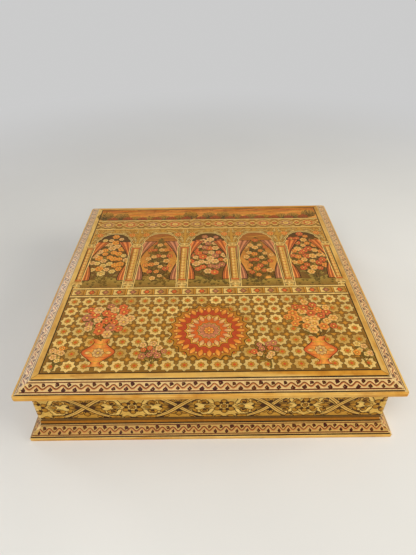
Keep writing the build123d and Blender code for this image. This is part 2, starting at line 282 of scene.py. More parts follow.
def buildEdgeWearAndHighlight():
    # Edge is 1 on an arris, where the nearest of the listed corner lines is under a millimetre away; it
    # marks where the colour is paled, partly as rubbed wear and partly as a painted highlight on the rounded
    # edges;
    # Joint is 1 on the mitre planes, where |x| equals |y|, Chip in flakes beside them and Dust in specks
    (place,), result = newGroup("edgeWear", "Vector", "Edge Joint Chip Dust")
    scale = patternScale["wear"]
    parts = put("SeparateXYZ", None, Vector=place)
    x, y = sums("ABSOLUTE", parts["X"]), sums("ABSOLUTE", parts["Y"])
    reach = sums("MAXIMUM", x, y)
    nearest = None
    for radius, height in ((lidSize["edge"], lidSize["low"]), (lidSize["edge"], lidSize["rim"]),
                           (lidSize["inner"], lidSize["top"]), (lidSize["outer"], lidSize["low"]),
                           (footSize["outer"], footSize["low"]), (footSize["outer"], 0.0)):
        across, up = reach - radius * mm, parts["Z"] - height * mm
        apart = sums("SQRT", across * across + up * up)
        nearest = apart if nearest is None else sums("MINIMUM", nearest, apart)
    ragged, patchy = noise(place, scale["ragged"], 6.0, 0.7), noise(place, scale["patch"], 3.0)
    (near, far), (wide, thin) = [np.array(wearStyle[key]) * mm for key in ("rubbed", "joint")]
    edge = fade(nearest - ragged * (wearStyle["ragged"] * mm), near, far) * fade(patchy, 0.42, 0.62)
    mitre = sums("ABSOLUTE", x - y)
    picture = (lidSize["inner"] - wearStyle["border"]) * mm
    joint = fade(mitre, wide, thin) * sums("GREATER_THAN", reach, picture)
    flakes = sums("MULTIPLY_ADD", mitre, -wearStyle["flake"] / mm, ragged)
    chip = fade(flakes, 0.46, 0.5) * sums("GREATER_THAN", reach, lidSize["inner"] * mm)
    dust = fade(patchy, 0.5, 0.7) * fade(noise(place, scale["dust"]), 0.55, 0.75)
    give(result, Edge=edge, Joint=joint, Chip=chip, Dust=dust)


pictureTile = {"wide": 44.9, "high": 67.4, "wobble": 0.25, "seam": 0.22, "core": 0.06}


def buildPlateSeams():
    # Seam is 1 along the joints of the picture's bone tiles, which lie in courses, every other one moved by
    # half a tile; each tile's Tone is the fraction of 437.5 * sin(12.9 * tile + 78.2 * course)
    (place,), result = newGroup("plateSeams", "Vector", "Seam Tone")
    scale = patternScale["seam"]
    parts = put("SeparateXYZ", None, Vector=place)
    wide, high = pictureTile["wide"] * mm, pictureTile["high"] * mm
    course = sums("FLOOR", sums("DIVIDE", parts["Y"] + 2 * high, high))
    x = parts["X"] + sums("MODULO", course, 2.0) * (wide / 2) + 4 * wide
    wobble = noise(place, scale["wobble"]) * (pictureTile["wobble"] * mm)
    upright = sums("PINGPONG", x + wobble, wide / 2)
    level = sums("PINGPONG", parts["Y"] + wobble + 10 * high, high / 2)
    nearest = sums("MINIMUM", upright, level)
    seam = fade(nearest, pictureTile["seam"] * mm, pictureTile["core"] * mm)
    seam = seam * fade(noise(place, scale["fading"], 3.0), 0.38, 0.6, 0.25, 1.0)
    flat = sums("GREATER_THAN", parts["Z"], (lidSize["top"] - 0.2) * mm)
    reach = sums("MAXIMUM", sums("ABSOLUTE", parts["X"]), sums("ABSOLUTE", parts["Y"]))
    inside = sums("LESS_THAN", reach, pictureHalf * mm)
    tile = sums("FLOOR", sums("DIVIDE", x, wide))
    tone = sums("FRACT", sums("SINE", tile * 12.9 + course * 78.2) * 437.5)
    give(result, Seam=seam * (flat * inside), Tone=tone * inside)


def buildVarnish():
    # an old hand-laid varnish: slow waves, fine scratches and duller patches
    (place,), result = newGroup("varnish", "Vector", "Rough Height Yellow")
    scale = patternScale["varnish"]
    fine, dull = noise(place, scale["fine"], 3.0, 0.6), noise(place, scale["dull"], 4.0, 0.6)
    scratch = noise(drawn(place, 0.06, 1), scale["scratch"])
    give(result, Rough=fade(dull, 0.35, 0.7, 0.0, 0.16) + fade(fine, 0.3, 0.7, 0.0, 0.08),
         Height=noise(place, scale["wave"], 3.0) + fine * 0.12 - fade(scratch, 0.66, 0.74, 0.0, 0.12),
         Yellow=fade(dull, 0.4, 0.7))


def buildBrushwork():
    # water colour on bone: each stroke is uneven in strength and lets a little of the ground through
    (place, colour), result = newGroup("brushwork", "Vector Colour", "Colour Height")
    scale = patternScale["brush"]
    wash = noise(place, scale["wash"], 5.0, 0.65)
    hairs = noise(drawn(place, 0.25, 1), scale["hairs"], 3.0, 0.6)
    value = fade(wash, 0.3, 0.7, 0.86, 1.1) + fade(hairs, 0.3, 0.7, -0.09, 0.09)
    tinted = mixed(1.0, colour, put("CombineColor", in0=value, in1=value, in2=value), "MULTIPLY")
    thin = fade(noise(place, scale["thin"]), 0.6, 0.74) * 0.12
    give(result, Colour=mixed(thin, tinted, grainTones["groundThrough"]), Height=hairs * 0.6 + wash)


def buildWoodGrain():
    # rings drawn out along the board, fine dark pores and a slow change of tone; Vector is already drawn out
    (place, fine, colour, deep), result = newGroup("woodGrain", "Vector Fine Colour Deep",
                                                   "Colour Rough Height")
    scale = patternScale["wood"]
    bent = put("TexNoise", 1, Vector=place, Scale=scale["bend"], Detail=3.0, Roughness=0.5)
    across = put("VectorMath", operation="MULTIPLY_ADD", in0=bent, in1=(0.012, 0.012, 0.012), in2=place)
    rings = put("TexWave", 1, wave_type="RINGS", rings_direction="X", Vector=across, Scale=scale["rings"],
                Distortion=5.0, Detail=3.0, Detail_Scale=1.6, Detail_Roughness=0.6)
    fibre = noise(fine, scale["fibre"], 5.0, 0.7)
    pores = fade(noise(fine, scale["pores"]), 0.64, 0.7)
    share = fade(rings, 0.25, 0.95, 0.0, 0.75) + fade(fibre, 0.3, 0.7, -0.12, 0.22)
    base = mixed(share, colour, deep)
    base = mixed(fade(noise(place, scale["pale"]), 0.42, 0.66, 0.0, 0.25), base, grainTones["woodPale"])
    give(result, Colour=mixed(pores * 0.6, base, grainTones["woodPore"]),
         Rough=fade(fibre, 0.3, 0.7, -0.06, 0.1), Height=rings * 0.5 + fibre - pores)


def buildMetalWear():
    # drawn metal: fine lines, cloudy tarnish, and small dark pits where the lacquer has gone
    (place, colour, tarnish), result = newGroup("metalWear", "Vector Colour Tarnish", "Colour Rough Height")
    scale = patternScale["metal"]
    lines = noise(drawn(place, 0.05, 0), scale["lines"], 3.0)
    pits = fade(put("TexVoronoi", "Distance", Vector=place, Scale=scale["pits"]), 0.16, 0.06)
    dull = fade(noise(place, scale["dull"], 6.0, 0.65), 0.42, 0.7, 0.0, 0.85)
    give(result, Colour=mixed(pits * (dull * 0.7), mixed(dull, colour, tarnish), grainTones["pit"]),
         Rough=dull * 0.24 + fade(lines, 0.3, 0.7, 0.0, 0.1), Height=lines * 0.5 - pits)


def buildVelvetPile():
    # a short pile: tufts in close rows, brushed this way and that in soft patches, with a little lint
    (place, colour, light, lint), result = newGroup("velvetPile", "Vector Colour Light Lint",
                                                    "Colour Rough Height")
    scale = patternScale["velvet"]
    tufts = put("TexVoronoi", "Distance", Vector=place, Scale=scale["tufts"], Randomness=0.9)
    brushed = noise(put("Mapping", Vector=place, Scale=(1.0, 0.55, 0.7)), scale["brushed"], 6.0, 0.62)
    nap = noise(place, scale["nap"], 4.0, 0.7)
    share = fade(brushed, 0.3, 0.72, 0.1, 0.45) + fade(nap, 0.3, 0.7, -0.1, 0.2)
    dots = fade(noise(place, scale["lint"], 1.0), 0.74, 0.78) * lint
    give(result, Colour=mixed(dots, mixed(share, colour, light), grainTones["lint"]),
         Rough=fade(brushed, 0.3, 0.7, 0.78, 0.96), Height=nap * 1.4 - tufts)


for build in (buildBoneGrain, buildEdgeWearAndHighlight, buildPlateSeams, buildVarnish, buildBrushwork, buildWoodGrain,
              buildMetalWear, buildVelvetPile):
    build()

# finishes
# wear is how strongly the arrises pale: partly rubbed wear, partly a painted highlight
boneFinish = {"rough": 0.38, "specular": 0.16, "coat": 0.08, "coatRough": 0.16, "depth": 0.05, "drawn": 0.07,
              "wear": 0.55, "joint": 0.7, "chip": 0.5, "yellowing": 0.16, "yellow": (176, 112, 34)}
paintFinish = {"rough": 0.4, "specular": 0.2, "coat": 0.06, "coatRough": 0.2, "depth": 0.04,
               "wear": 0.12, "joint": 0.5, "chip": 0.7, "yellowing": 0.12, "yellow": (176, 118, 40),
               "tile": 0.1, "tileTone": (150, 98, 36), "seam": 0.6}
bevelFinish = {**paintFinish, "rough": 0.36, "specular": 0.13, "coat": 0.04}
# worn is the pale colour of the arrises, partly rubbed bone and partly a painted highlight
oldBone = {"worn": (240, 208, 146), "grime": (70, 40, 14), "bare": (236, 214, 176),
           "amber": (253, 244, 208), "gleam": (255, 206, 138), "bevelGleam": (255, 236, 208),
           "haze": (242, 200, 152), "hazeRough": 0.35}


def finishShader(shader, colour, rough, height, depth, **plain):
    bump = put("Bump", Strength=1.0, Distance=depth * mm, Height=height)
    give(shader, Base_Color=colour, Roughness=rough, Normal=bump, **plain)


def stained(shown, *stains):
    # each stain is a mask, its strength and its colour
    for mask, strength, colour in stains:
        shown = mixed(mask * strength, shown, colour)
    return shown


def varnished(shader, place, varnish, colour, rough, height, style, stains=(), haze=0.0, gleam="gleam"):
    # wear, grime and amber varnish over bone or paint, the arrises paled partly by wear and partly as a
    # painted highlight; haze is the varnish's bloom, which shows aslant
    old = useGroup("edgeWear", Vector=place)
    shown = stained(colour, (old["Edge"], style["wear"], oldBone["worn"]),
                    (old["Joint"], style["joint"], oldBone["grime"]),
                    (old["Chip"], style["chip"], oldBone["bare"]), *stains,
                    (varnish["Yellow"], style["yellowing"], style["yellow"]))
    finishShader(shader, mixed(1.0, shown, oldBone["amber"], "MULTIPLY"), rough, height, style["depth"],
                 Specular_IOR_Level=style["specular"], Specular_Tint=oldBone[gleam],
                 Coat_Weight=style["coat"], Coat_Roughness=style["coatRough"], Sheen_Weight=haze,
                 Sheen_Roughness=oldBone["hazeRough"], Sheen_Tint=oldBone["haze"])


def boneMaterial(name, colour, deep, along, pores=1.0, haze=0.0):
    # along is 0 for a strip that runs in x and 1 for one that runs in y
    material, shader, place = newMaterial(name)
    bone = useGroup("boneGrain", Vector=place, Along=drawn(place, boneFinish["drawn"], along), Colour=colour,
                    Deep=deep, Pores=pores)
    varnish = useGroup("varnish", Vector=place)
    varnished(shader, place, varnish, bone["Colour"], bone["Rough"] + varnish["Rough"] + boneFinish["rough"],
              bone["Height"] + varnish["Height"], boneFinish, haze=haze)
    return material


def paintMaterial(name, style, haze=0.0, gleam="gleam"):
    # the colour of every stroke is in the mesh's own attribute
    material, shader, place = newMaterial(name)
    stroke = put("Attribute", "Color", attribute_name="paint")
    brush = useGroup("brushwork", Vector=place, Colour=stroke)
    tile = useGroup("plateSeams", Vector=place)
    varnish = useGroup("varnish", Vector=place)
    varnished(shader, place, varnish, brush["Colour"], varnish["Rough"] + style["rough"],
              brush["Height"] * 0.6 + varnish["Height"] - tile["Seam"], style,
              ((tile["Tone"], style["tile"], style["tileTone"]),
               (tile["Seam"], style["seam"], oldBone["grime"])), haze, gleam)
    return material


def assign(material, *names):
    for name in names:
        for slot in nodes[name].material_slots:
            slot.material = material


woodStyle = {"colour": (158, 108, 62), "deep": (104, 64, 32), "dust": (150, 132, 108), "rough": 0.52,
             "specular": 0.3, "depth": 0.06, "rings": 0.09, "fibre": 0.04, "dusty": 0.3}
brassStyle = {"colour": (206, 162, 84), "tarnish": (128, 88, 40), "rough": 0.24, "depth": 0.02}
steelStyle = {"colour": (176, 174, 170), "tarnish": (104, 92, 80), "rough": 0.26, "depth": 0.015}
velvetStyle = {"colour": (84, 12, 18), "light": (138, 26, 32), "lint": 0.25, "sheen": 0.34,
               "gleam": (206, 84, 78), "depth": 0.12}
baizeStyle = {"colour": (26, 56, 36), "light": (44, 82, 52), "lint": 0.5, "sheen": 0.2,
              "gleam": (140, 176, 140), "depth": 0.1}


def woodMaterial(name, along):
    material, shader, place = newMaterial(name)
    wood = useGroup("woodGrain", Vector=drawn(place, woodStyle["rings"], along),
                    Fine=drawn(place, woodStyle["fibre"], along), Colour=woodStyle["colour"],
                    Deep=woodStyle["deep"])
    old = useGroup("edgeWear", Vector=place)
    shown = stained(wood["Colour"], (old["Dust"], woodStyle["dusty"], woodStyle["dust"]))
    finishShader(shader, shown, wood["Rough"] + woodStyle["rough"], wood["Height"], woodStyle["depth"],
                 Specular_IOR_Level=woodStyle["specular"])
    return material


def metalMaterial(name, style):
    material, shader, place = newMaterial(name)
    metal = useGroup("metalWear", Vector=place, Colour=style["colour"], Tarnish=style["tarnish"])
    finishShader(shader, metal["Colour"], metal["Rough"] + style["rough"], metal["Height"], style["depth"],
                 Metallic=1.0)
    return material


def clothMaterial(name, style):
    material, shader, place = newMaterial(name)
    pile = useGroup("velvetPile", Vector=place, Colour=style["colour"], Light=style["light"],
                    Lint=style["lint"])
    finishShader(shader, pile["Colour"], pile["Rough"], pile["Height"], style["depth"],
                 Specular_IOR_Level=0.15, Sheen_Weight=style["sheen"], Sheen_Roughness=0.4,
                 Sheen_Tint=style["gleam"])
    return material


# of each pair, the first is for pieces that run in x and the second for those that run in y
plainAmber = [boneMaterial("plainAmberX", (212, 154, 64), (170, 106, 34), 0),
              # the plain amber of pieces that run in y, the left and right strips, is paler: a painted sheen
              # on those sides
              boneMaterial("plainAmberY", (212, 166, 92), (172, 118, 52), 1, haze=0.6)]
bevelBone = [boneMaterial("bevelBone" + "XY"[a], (206, 160, 92), (150, 104, 52), a, 0.8) for a in (0, 1)]
wallGround = [boneMaterial("wallGround" + "XY"[a], (188, 142, 62), (140, 94, 34), a, 0.6) for a in (0, 1)]
wood = [woodMaterial("wood" + "XY"[a], a) for a in (0, 1)]
for turn, side in enumerate(quarters):
    assign(plainAmber[turn % 2], f"lid_border_{side}", f"lid_edge_facing_{side}",
           f"plinth_edge_facing_{side}")
    assign(bevelBone[turn % 2], f"lid_bevel_facing_{side}", f"plinth_bevel_facing_{side}")
    assign(wallGround[turn % 2], f"wall_facing_{side}")
    assign(wood[turn % 2], f"wall_{side}", f"plinth_{side}", f"lid_rail_{side}")
assign(boneMaterial("pictureGround", (182, 136, 68), (132, 90, 38), 0, 0.5), "picture_panel")
assign(wood[0], "base_board", "lid_panel")
assign(metalMaterial("oldBrass", brassStyle), "hinge_wall_leaf_left", "hinge_wall_leaf_right",
       "hinge_lid_leaf_left", "hinge_lid_leaf_right", "hinge_wall_screws", "hinge_lid_screws")
assign(metalMaterial("pinSteel", steelStyle), "hinge_pin_left", "hinge_pin_right")
paintedFilm = paintMaterial("paintedFilm", paintFinish)
bevelFilm = paintMaterial("bevelFilm", bevelFinish, 1.0, "bevelGleam")
velvet = clothMaterial("redVelvet", velvetStyle)
baize = clothMaterial("greenBaize", baizeStyle)
print("bone, paint, wood, metal and cloth finishes are made")


# painting: every stroke is a thin patch laid on a sheet, the flat board that a paint's strokes lie on
coatStep = 0.007  # how much higher each coat lies, in mm
hair = 0.0006  # how far apart overlapping strokes of one coat lie, so that no two share a plane
slots = 11  # how many such heights a coat has
leastArea = 1e-12  # faces with less than about this many square metres are dropped
golden = 2.39996  # the angle that spreads flowers and leaves evenly, in radians
fourWays = ((1, 1), (1, -1), (-1, 1), (-1, -1))  # right and left, each up and down


def at(x, y):
    # points from their two measures, either of which may be one number for all
    return np.stack(np.broadcast_arrays(x, y), -1)


def each(count, *values):
    # every value as an array with one number for each stroke
    return [np.broadcast_to(np.asarray(value, float), count) for value in values]


def pointing(angle):
    return at(np.cos(angle), np.sin(angle))


def facing(angle, way):
    # an angle as it is to the right, and mirrored to the left
    return angle if way > 0 else np.pi - angle


def turned(vector, quarter):
    c, s = ((1, 0), (0, 1), (-1, 0), (0, -1))[quarter]
    x, y, z = vector
    return np.array([c * x - s * y, s * x + c * y, z], float)


def newPaint(name, colours):
    return {"name": name, "colours": colours, "points": [], "tones": [], "faces": {3: [], 4: []},
            "count": 0, "laid": {}}


def board(paint, origin, up, quarter=0, limit=1000.0):
    # along runs to the right as seen from outside, up climbs, and out = along x up; strokes end at the limit
    # to each side and between low and high
    along, up = turned((1, 0, 0), quarter), turned(up, quarter) / np.linalg.norm(up)
    return {"paint": paint, "origin": turned(origin, quarter), "along": along, "up": up,
            "out": np.cross(along, up), "limit": limit, "low": -1000.0, "high": 1000.0, "name": quarter}


def heightSlots(sheet, coat, xy):
    # the lowest height within the coat that no overlapping stroke of the same coat has taken
    flat = xy.reshape(len(xy), -1, 2)
    fresh = np.concatenate([flat.min(1), flat.max(1)], 1)
    laid, key = sheet["paint"]["laid"], (sheet["name"], coat)
    boxes, taken = laid.get(key, (np.zeros((0, 4)), np.zeros(0, int)))
    start = len(boxes)
    boxes, taken = np.concatenate([boxes, fresh]), np.concatenate([taken, np.zeros(len(fresh), int)])
    begins = (fresh[:, None, :2] < boxes[None, :, 2:]).all(2)
    meets = begins & (fresh[:, None, 2:] > boxes[None, :, :2]).all(2)
    for i in range(len(fresh)):
        free = np.ones(slots + 1, bool)
        free[taken[:start + i][meets[i, :start + i]]] = False
        taken[start + i] = min(np.argmax(free), slots - 1)
    laid[key] = (boxes, taken)
    return taken[start:]


def lay(sheet, coat, xy, tones, faces):
    # point = origin + x * along + y * up + high * out, where high is the coat's and a hair more per slot
    paint = sheet["paint"]
    xy = np.clip(xy, [-sheet["limit"], sheet["low"]], [sheet["limit"], sheet["high"]])
    high = (coat * coatStep + hair * heightSlots(sheet, coat, xy)).reshape(-1, *[1] * (xy.ndim - 1))
    points = sheet["origin"] + xy[..., :1] * sheet["along"] + xy[..., 1:] * sheet["up"] + high * sheet["out"]
    paint["points"].append(points.reshape(-1, 3))
    paint["tones"].append(np.broadcast_to(tones, points.shape).reshape(-1, 3))
    for corners, rows in faces.items():
        paint["faces"][corners].append(rows.reshape(-1, corners) + paint["count"])
    paint["count"] += points.size // 3


def quadsOf(rows, columns):
    # quads between neighbouring rows and columns of a grid of points
    r, c = np.mgrid[0:rows - 1, 0:columns - 1]
    return (r * columns + c).reshape(-1, 1) + np.array([0, columns, columns + 1, 1])


def layGrid(sheet, coat, xy, tones):
    # xy is patches x rows x columns x 2
    patches, rows, columns = xy.shape[:3]
    start = (np.arange(patches) * rows * columns)[:, None, None]
    lay(sheet, coat, xy, tones, {4: start + quadsOf(rows, columns)})


def layFan(sheet, coat, centre, rim, inner, outer, rings):
    # a filled outline: ring k lies at centre + (rim - centre) * k / rings, closed round a middle point
    patches, spokes = rim.shape[:2]
    share = (np.arange(1, rings + 1) / rings)[None, :, None, None]
    grown = centre[:, None, None] + (rim - centre[:, None])[:, None] * share
    xy = np.concatenate([centre[:, None], grown.reshape(patches, -1, 2)], 1)
    tones = inner[:, None, None] + (outer - inner)[:, None, None] * share
    tones = np.broadcast_to(tones, (patches, rings, spokes, 3)).reshape(patches, -1, 3)
    tones = np.concatenate([inner[:, None], tones], 1)
    s = np.arange(spokes)
    after = (s + 1) % spokes
    first = np.stack([np.zeros(spokes, int), 1 + s, 1 + after], 1)
    k = np.arange(rings - 1)[:, None] * spokes + 1
    rest = np.stack([k + s, k + s + spokes, k + after + spokes, k + after], -1).reshape(-1, 4)
    start = (np.arange(patches) * (rings * spokes + 1))[:, None, None]
    lay(sheet, coat, xy, tones, {3: start + first, 4: start + rest})


def toneOf(sheet, colour):
    # a colour given by its name, or as it is
    return np.asarray(sheet["paint"]["colours"][colour] if isinstance(colour, str) else colour, float)


def perStroke(sheet, colour, count):
    # one colour, or one for each stroke, as strokes x 3 in light values
    return np.broadcast_to(linear(toneOf(sheet, colour)), (count, 3))


def ribbon(sheet, coat, path, width, colour):
    # path is strokes x points x 2; the two edges lie half a width to each side, square to its direction
    path = np.asarray(path, float)
    path = path[None] if path.ndim == 2 else path
    width = np.broadcast_to(np.asarray(width, float), path.shape[:2])
    ahead = np.gradient(path, axis=1)
    ahead /= np.maximum(np.linalg.norm(ahead, axis=2, keepdims=True), 1e-9)
    left = at(-ahead[..., 1], ahead[..., 0])
    xy = path[:, :, None] + left[:, :, None] * (width[..., None] * np.array([-0.5, 0.5]))[..., None]
    layGrid(sheet, coat, xy, perStroke(sheet, colour, len(path))[:, None, None])


def leafPatch(base, angle, length, width, bend, belly, rows, grow=0.0):
    # along u: x = length * u, y = bend * length * u^2 + v * width / 2 * sin(pi * u^belly)^0.85, then turned
    # by angle and moved to base; grow adds the same rim all round
    base = np.atleast_2d(np.asarray(base, float))
    angle, length, width, bend = [q[:, None, None] for q in each(len(base), angle, length, width, bend)]
    u = np.linspace(0.012, 0.988, rows)[None, :, None]
    v = np.array([-1.0, 0.0, 1.0])[None, None, :]
    x = -grow + (length + 2 * grow) * u + 0 * v
    y = bend * length * u ** 2 + v * ((width / 2 + grow) * np.sin(np.pi * u ** belly) ** 0.85)
    c, s = np.cos(angle), np.sin(angle)
    return base[:, None, None] + at(c * x - s * y, s * x + c * y)


def leaves(sheet, coat, base, angle, length, width, fill, tip, ink="ink", bend=0.0, belly=1.0, rows=7,
           rim=0.22):
    # an inked leaf or petal: the dark shape first, then the fill from its base colour to its tip colour,
    # a little paler along its middle
    if ink is not None:
        dark = leafPatch(base, angle, length, width, bend, belly, rows, rim)
        layGrid(sheet, coat, dark, perStroke(sheet, ink, len(dark))[:, None, None])
    xy = leafPatch(base, angle, length, width, bend, belly, rows)
    u = np.linspace(0, 1, rows)[None, :, None, None]
    start, end = [perStroke(sheet, colour, len(xy))[:, None, None] for colour in (fill, tip)]
    across = np.array([0.82, 1.08, 0.82])[None, None, :, None]
    layGrid(sheet, coat + 1, xy, (start + (end - start) * u) * across)


def rimOf(centre, radius, spokes=14, lobes=0, depth=0.0, squeeze=1.0):
    # radius at angle a = r * (1 - depth * |sin(lobes * a / 2)|), squeezed in y
    radius = each(len(centre), radius)[0][:, None]
    a = np.linspace(0, 2 * np.pi, spokes, endpoint=False)[None]
    r = radius * (1 - depth * np.abs(np.sin(lobes * a / 2)))
    return centre[:, None] + at(r * np.cos(a), r * np.sin(a) * squeeze)


def discs(sheet, coat, centre, radius, inner, outer, ink="ink", rim=0.22, rings=2, **shape):
    # a lobed disc on a darker one, its colour running from the middle to the rim
    centre = np.atleast_2d(np.asarray(centre, float))
    if ink is not None:
        dark = perStroke(sheet, ink, len(centre))
        layFan(sheet, coat, centre, rimOf(centre, np.asarray(radius) + rim, **shape), dark, dark, 1)
    inner, outer = [perStroke(sheet, colour, len(centre)) for colour in (inner, outer)]
    layFan(sheet, coat + 1, centre, rimOf(centre, radius, **shape), inner, outer, rings)


def drift(s, seed, reach=1.0):
    # a slow unevenness of the hand: three sines of unlike length
    phase = np.random.default_rng(seed).uniform(0, 6.28, 3)
    waves = [high * np.sin(s / long + start) for high, long, start in zip((1, 0.6, 0.4), (31, 13, 6), phase)]
    return reach * sum(waves) / 2


def ruled(sheet, coat, bottom, top, halfAt, colour, seed=0, shake=0.06):
    # a ruled band from mitre to mitre; halfAt gives half its length at a height
    p = np.linspace(-1, 1, 90)
    s = p * halfAt((bottom + top) / 2)
    edges = [q + drift(s, seed + i, shake) for i, q in enumerate((bottom, top))]
    xy = np.stack([at(p * halfAt(t), t) for t in edges], 1)[None]
    layGrid(sheet, coat, xy, perStroke(sheet, colour, 1))


def hang(paint, body, material=paintedFilm):
    # the finished strokes as one mesh that rides on its body; strokes cut off at the end of a board leave
    # faces without area, which are dropped with their points
    points = np.concatenate(paint["points"]) * mm
    tones = np.concatenate(paint["tones"])
    faces = [np.concatenate(rows) for rows in paint["faces"].values() if rows]
    for i, rows in enumerate(faces):
        across = np.cross(points[rows[:, 2]] - points[rows[:, 0]], points[rows[:, -1]] - points[rows[:, 1]])
        faces[i] = rows[np.linalg.norm(across, axis=1) > leastArea]
    kept, corners = np.unique(np.concatenate([rows.ravel() for rows in faces]), return_inverse=True)
    sizes = np.concatenate([np.full(len(rows), rows.shape[1]) for rows in faces])
    starts = np.concatenate([[0], np.cumsum(sizes)[:-1]])
    mesh = bpy.data.meshes.new(paint["name"])
    mesh.vertices.add(len(kept))
    mesh.vertices.foreach_set("co", points[kept].astype(np.float32).ravel())
    mesh.loops.add(len(corners))
    mesh.loops.foreach_set("vertex_index", corners.astype(np.int32))
    mesh.polygons.add(len(sizes))
    mesh.polygons.foreach_set("loop_start", starts.astype(np.int32))
    mesh.update(calc_edges=True)
    mesh.validate()
    colours = mesh.color_attributes.new("paint", "FLOAT_COLOR", "POINT")
    shades = np.column_stack([np.clip(tones[kept], 0, 1), np.ones(len(kept))])
    colours.data.foreach_set("color", shades.astype(np.float32).ravel())
    mesh.materials.append(material)
    piece = added(paint["name"], mesh)
    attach(piece, body)
    print(paint["name"], len(sizes), "faces")


# the running vine on the bevels; ruled lines and ground lie at shares of the bevel, from the inner edge
vineStyle = {"swing": 1.52, "steps": 16, "inking": 0.16, "bend": (-0.3, 0.12), "rising": 0.92, "glints": 0.4,
             "lid": {"period": 9.8, "ground": "cream", "buds": (3.4, 3.4), "hanging": 0.98,
                     "lines": ((0.016, 0.104, "black"), (0.186, 0.26, "maroon"), (0.764, 0.842, "maroon"),
                               (0.904, 0.988, "black"))},
             "plinth": {"period": 8.9, "ground": "edge", "buds": (3.4, 3.2), "hanging": 0.74,
                        "lines": ((0.002, 0.066, "black"), (0.118, 0.18, "maroon"), (0.736, 0.806, "maroon"),
                                  (0.862, 0.95, "black"))},
             "groundFrom": 0.03, "groundTo": 0.96}
vineColours = {"ink": (44, 14, 12), "stem": (112, 52, 30), "leaf": (84, 26, 20), "leafTip": (46, 12, 12),
               "cream": (217, 187, 144), "edge": (194, 160, 102), "maroon": (96, 38, 24),
               "black": (28, 17, 10), "core": (190, 128, 84)}


def vine(sheet, middle, halfAt, place, seed):
    # stem height = middle + swing * sin(phase), where phase grows evenly but for a slow drift of the hand
    rng = np.random.default_rng(seed)
    swing, style = vineStyle["swing"], vineStyle[place]
    half = halfAt(middle - 2 * swing)
    turns = round(2 * half / style["period"])
    s = np.linspace(-half, half, turns * vineStyle["steps"] + 1)
    phase = 2 * np.pi * turns * (s + half) / (2 * half) + drift(s, seed, 0.7) - 1.2
    t = middle + swing * (1 + drift(s, seed + 5, 0.14)) * np.sin(phase)
    inside = np.abs(s) < halfAt(t) - 0.7  # the stem stops just short of the mitres
    path = at(s, t)[inside]
    for coat, lift, width, later, shake, colour in ((3, -0.3, 1.25, 9, 0.2, "core"),
                                                    (4, 0.25, 0.82, 2, 0.22, "stem")):
        ribbon(sheet, coat, path + [0, lift], (width + drift(s, seed + later, shake))[None, inside], colour)
    for side, long, broad, angles in ((1, style["buds"][0], vineStyle["rising"], (50, 78)),
                                      (-1, style["buds"][1], style["hanging"], (-106, -82))):
        # a round bud with a narrow foot in every hollow of the stem, some of them with a pale glint
        hollows = np.arange(np.ceil((phase[0] / np.pi + side / 2) / 2), (phase[-1] / np.pi + side / 2) / 2)
        spot = np.interp((2 * hollows - side / 2) * np.pi, phase, s)
        spot = spot[np.abs(spot) < halfAt(middle + 1.6 * side) - 2.1]
        count = len(spot)
        size = long * rng.uniform(0.88, 1.12, count)
        base = at(spot - 0.6 * side, middle - side * rng.uniform(-0.25, 0.25, count))
        angle = np.radians(rng.uniform(*angles, count))
        leaves(sheet, 5, base, angle, size, size * broad * rng.uniform(0.93, 1.07, count), "leaf", "leafTip",
               bend=rng.uniform(*vineStyle["bend"], count), belly=1.6, rows=10, rim=vineStyle["inking"])
        glint = base + 0.62 * size[:, None] * pointing(angle) - [0.45, 0]
        some = rng.uniform(0, 1, count) < vineStyle["glints"]
        discs(sheet, 7, glint[some], 0.3, "core", "core", None, spokes=6, rings=1)


def bevelBorder(place, size, body):
    style = vineStyle[place]
    rise, run = size["top"] - size["low"], size["outer"] - size["inner"]
    tall = np.hypot(rise, run)

    def halfAt(t):
        return size["outer"] - run * t / tall

    paint = newPaint(f"{place}_bevel_vine", vineColours)
    rules = style["lines"]
    middle = tall * (1 - (rules[1][1] + rules[2][0]) / 2)
    for quarter in range(4):
        sheet = board(paint, (0, -size["outer"], size["low"]), (0, run, rise), quarter)
        seed = 10 * quarter + len(place)
        ruled(sheet, 1, tall * (1 - vineStyle["groundTo"]), tall * (1 - vineStyle["groundFrom"]), halfAt,
              style["ground"], seed)
        for start, end, colour in rules:
            low, high = tall * (1 - end), tall * (1 - start)
            ruled(sheet, 2, low, high, halfAt, colour, seed + int(100 * start), 0.1)
        vine(sheet, middle, halfAt, place, seed)
    hang(paint, body, bevelFilm)


bevelBorder("lid", lidSize, "lid")
bevelBorder("plinth", footSize, "box_body")

# scrollwork on the four walls; heights are above the plinth
wallArt = {"crossings": (-179.6, -101.6, -25.6, 49.4, 105.3, 177.3), "strip": (0.55, 4.2),
           "band": (4.2, 7.2), "field": (7.2, 35.4), "lens": 14.6, "swell": 1.25, "strap": 3.0,
           "narrowing": 0.62, "strapInk": 1.8, "inking": 0.66, "foot": 0.35}
wallColours = {"ground": (194, 148, 66), "deep": (218, 180, 102), "strap": (226, 188, 112),
               "ink": (58, 30, 10), "cream": (230, 194, 116), "creamTip": (240, 208, 134),
               "crease": (150, 102, 44), "gold": (154, 104, 32), "goldTip": (198, 150, 58),
               "strip": (170, 112, 42), "band": (104, 78, 44), "black": (30, 20, 10)}
wallFills = {"cream": ("cream", "creamTip"), "gold": ("gold", "goldTip"), "arrow": ("goldTip", "ink"),
             "bud": ("goldTip", "gold"), "ink": ("ink", "ink")}
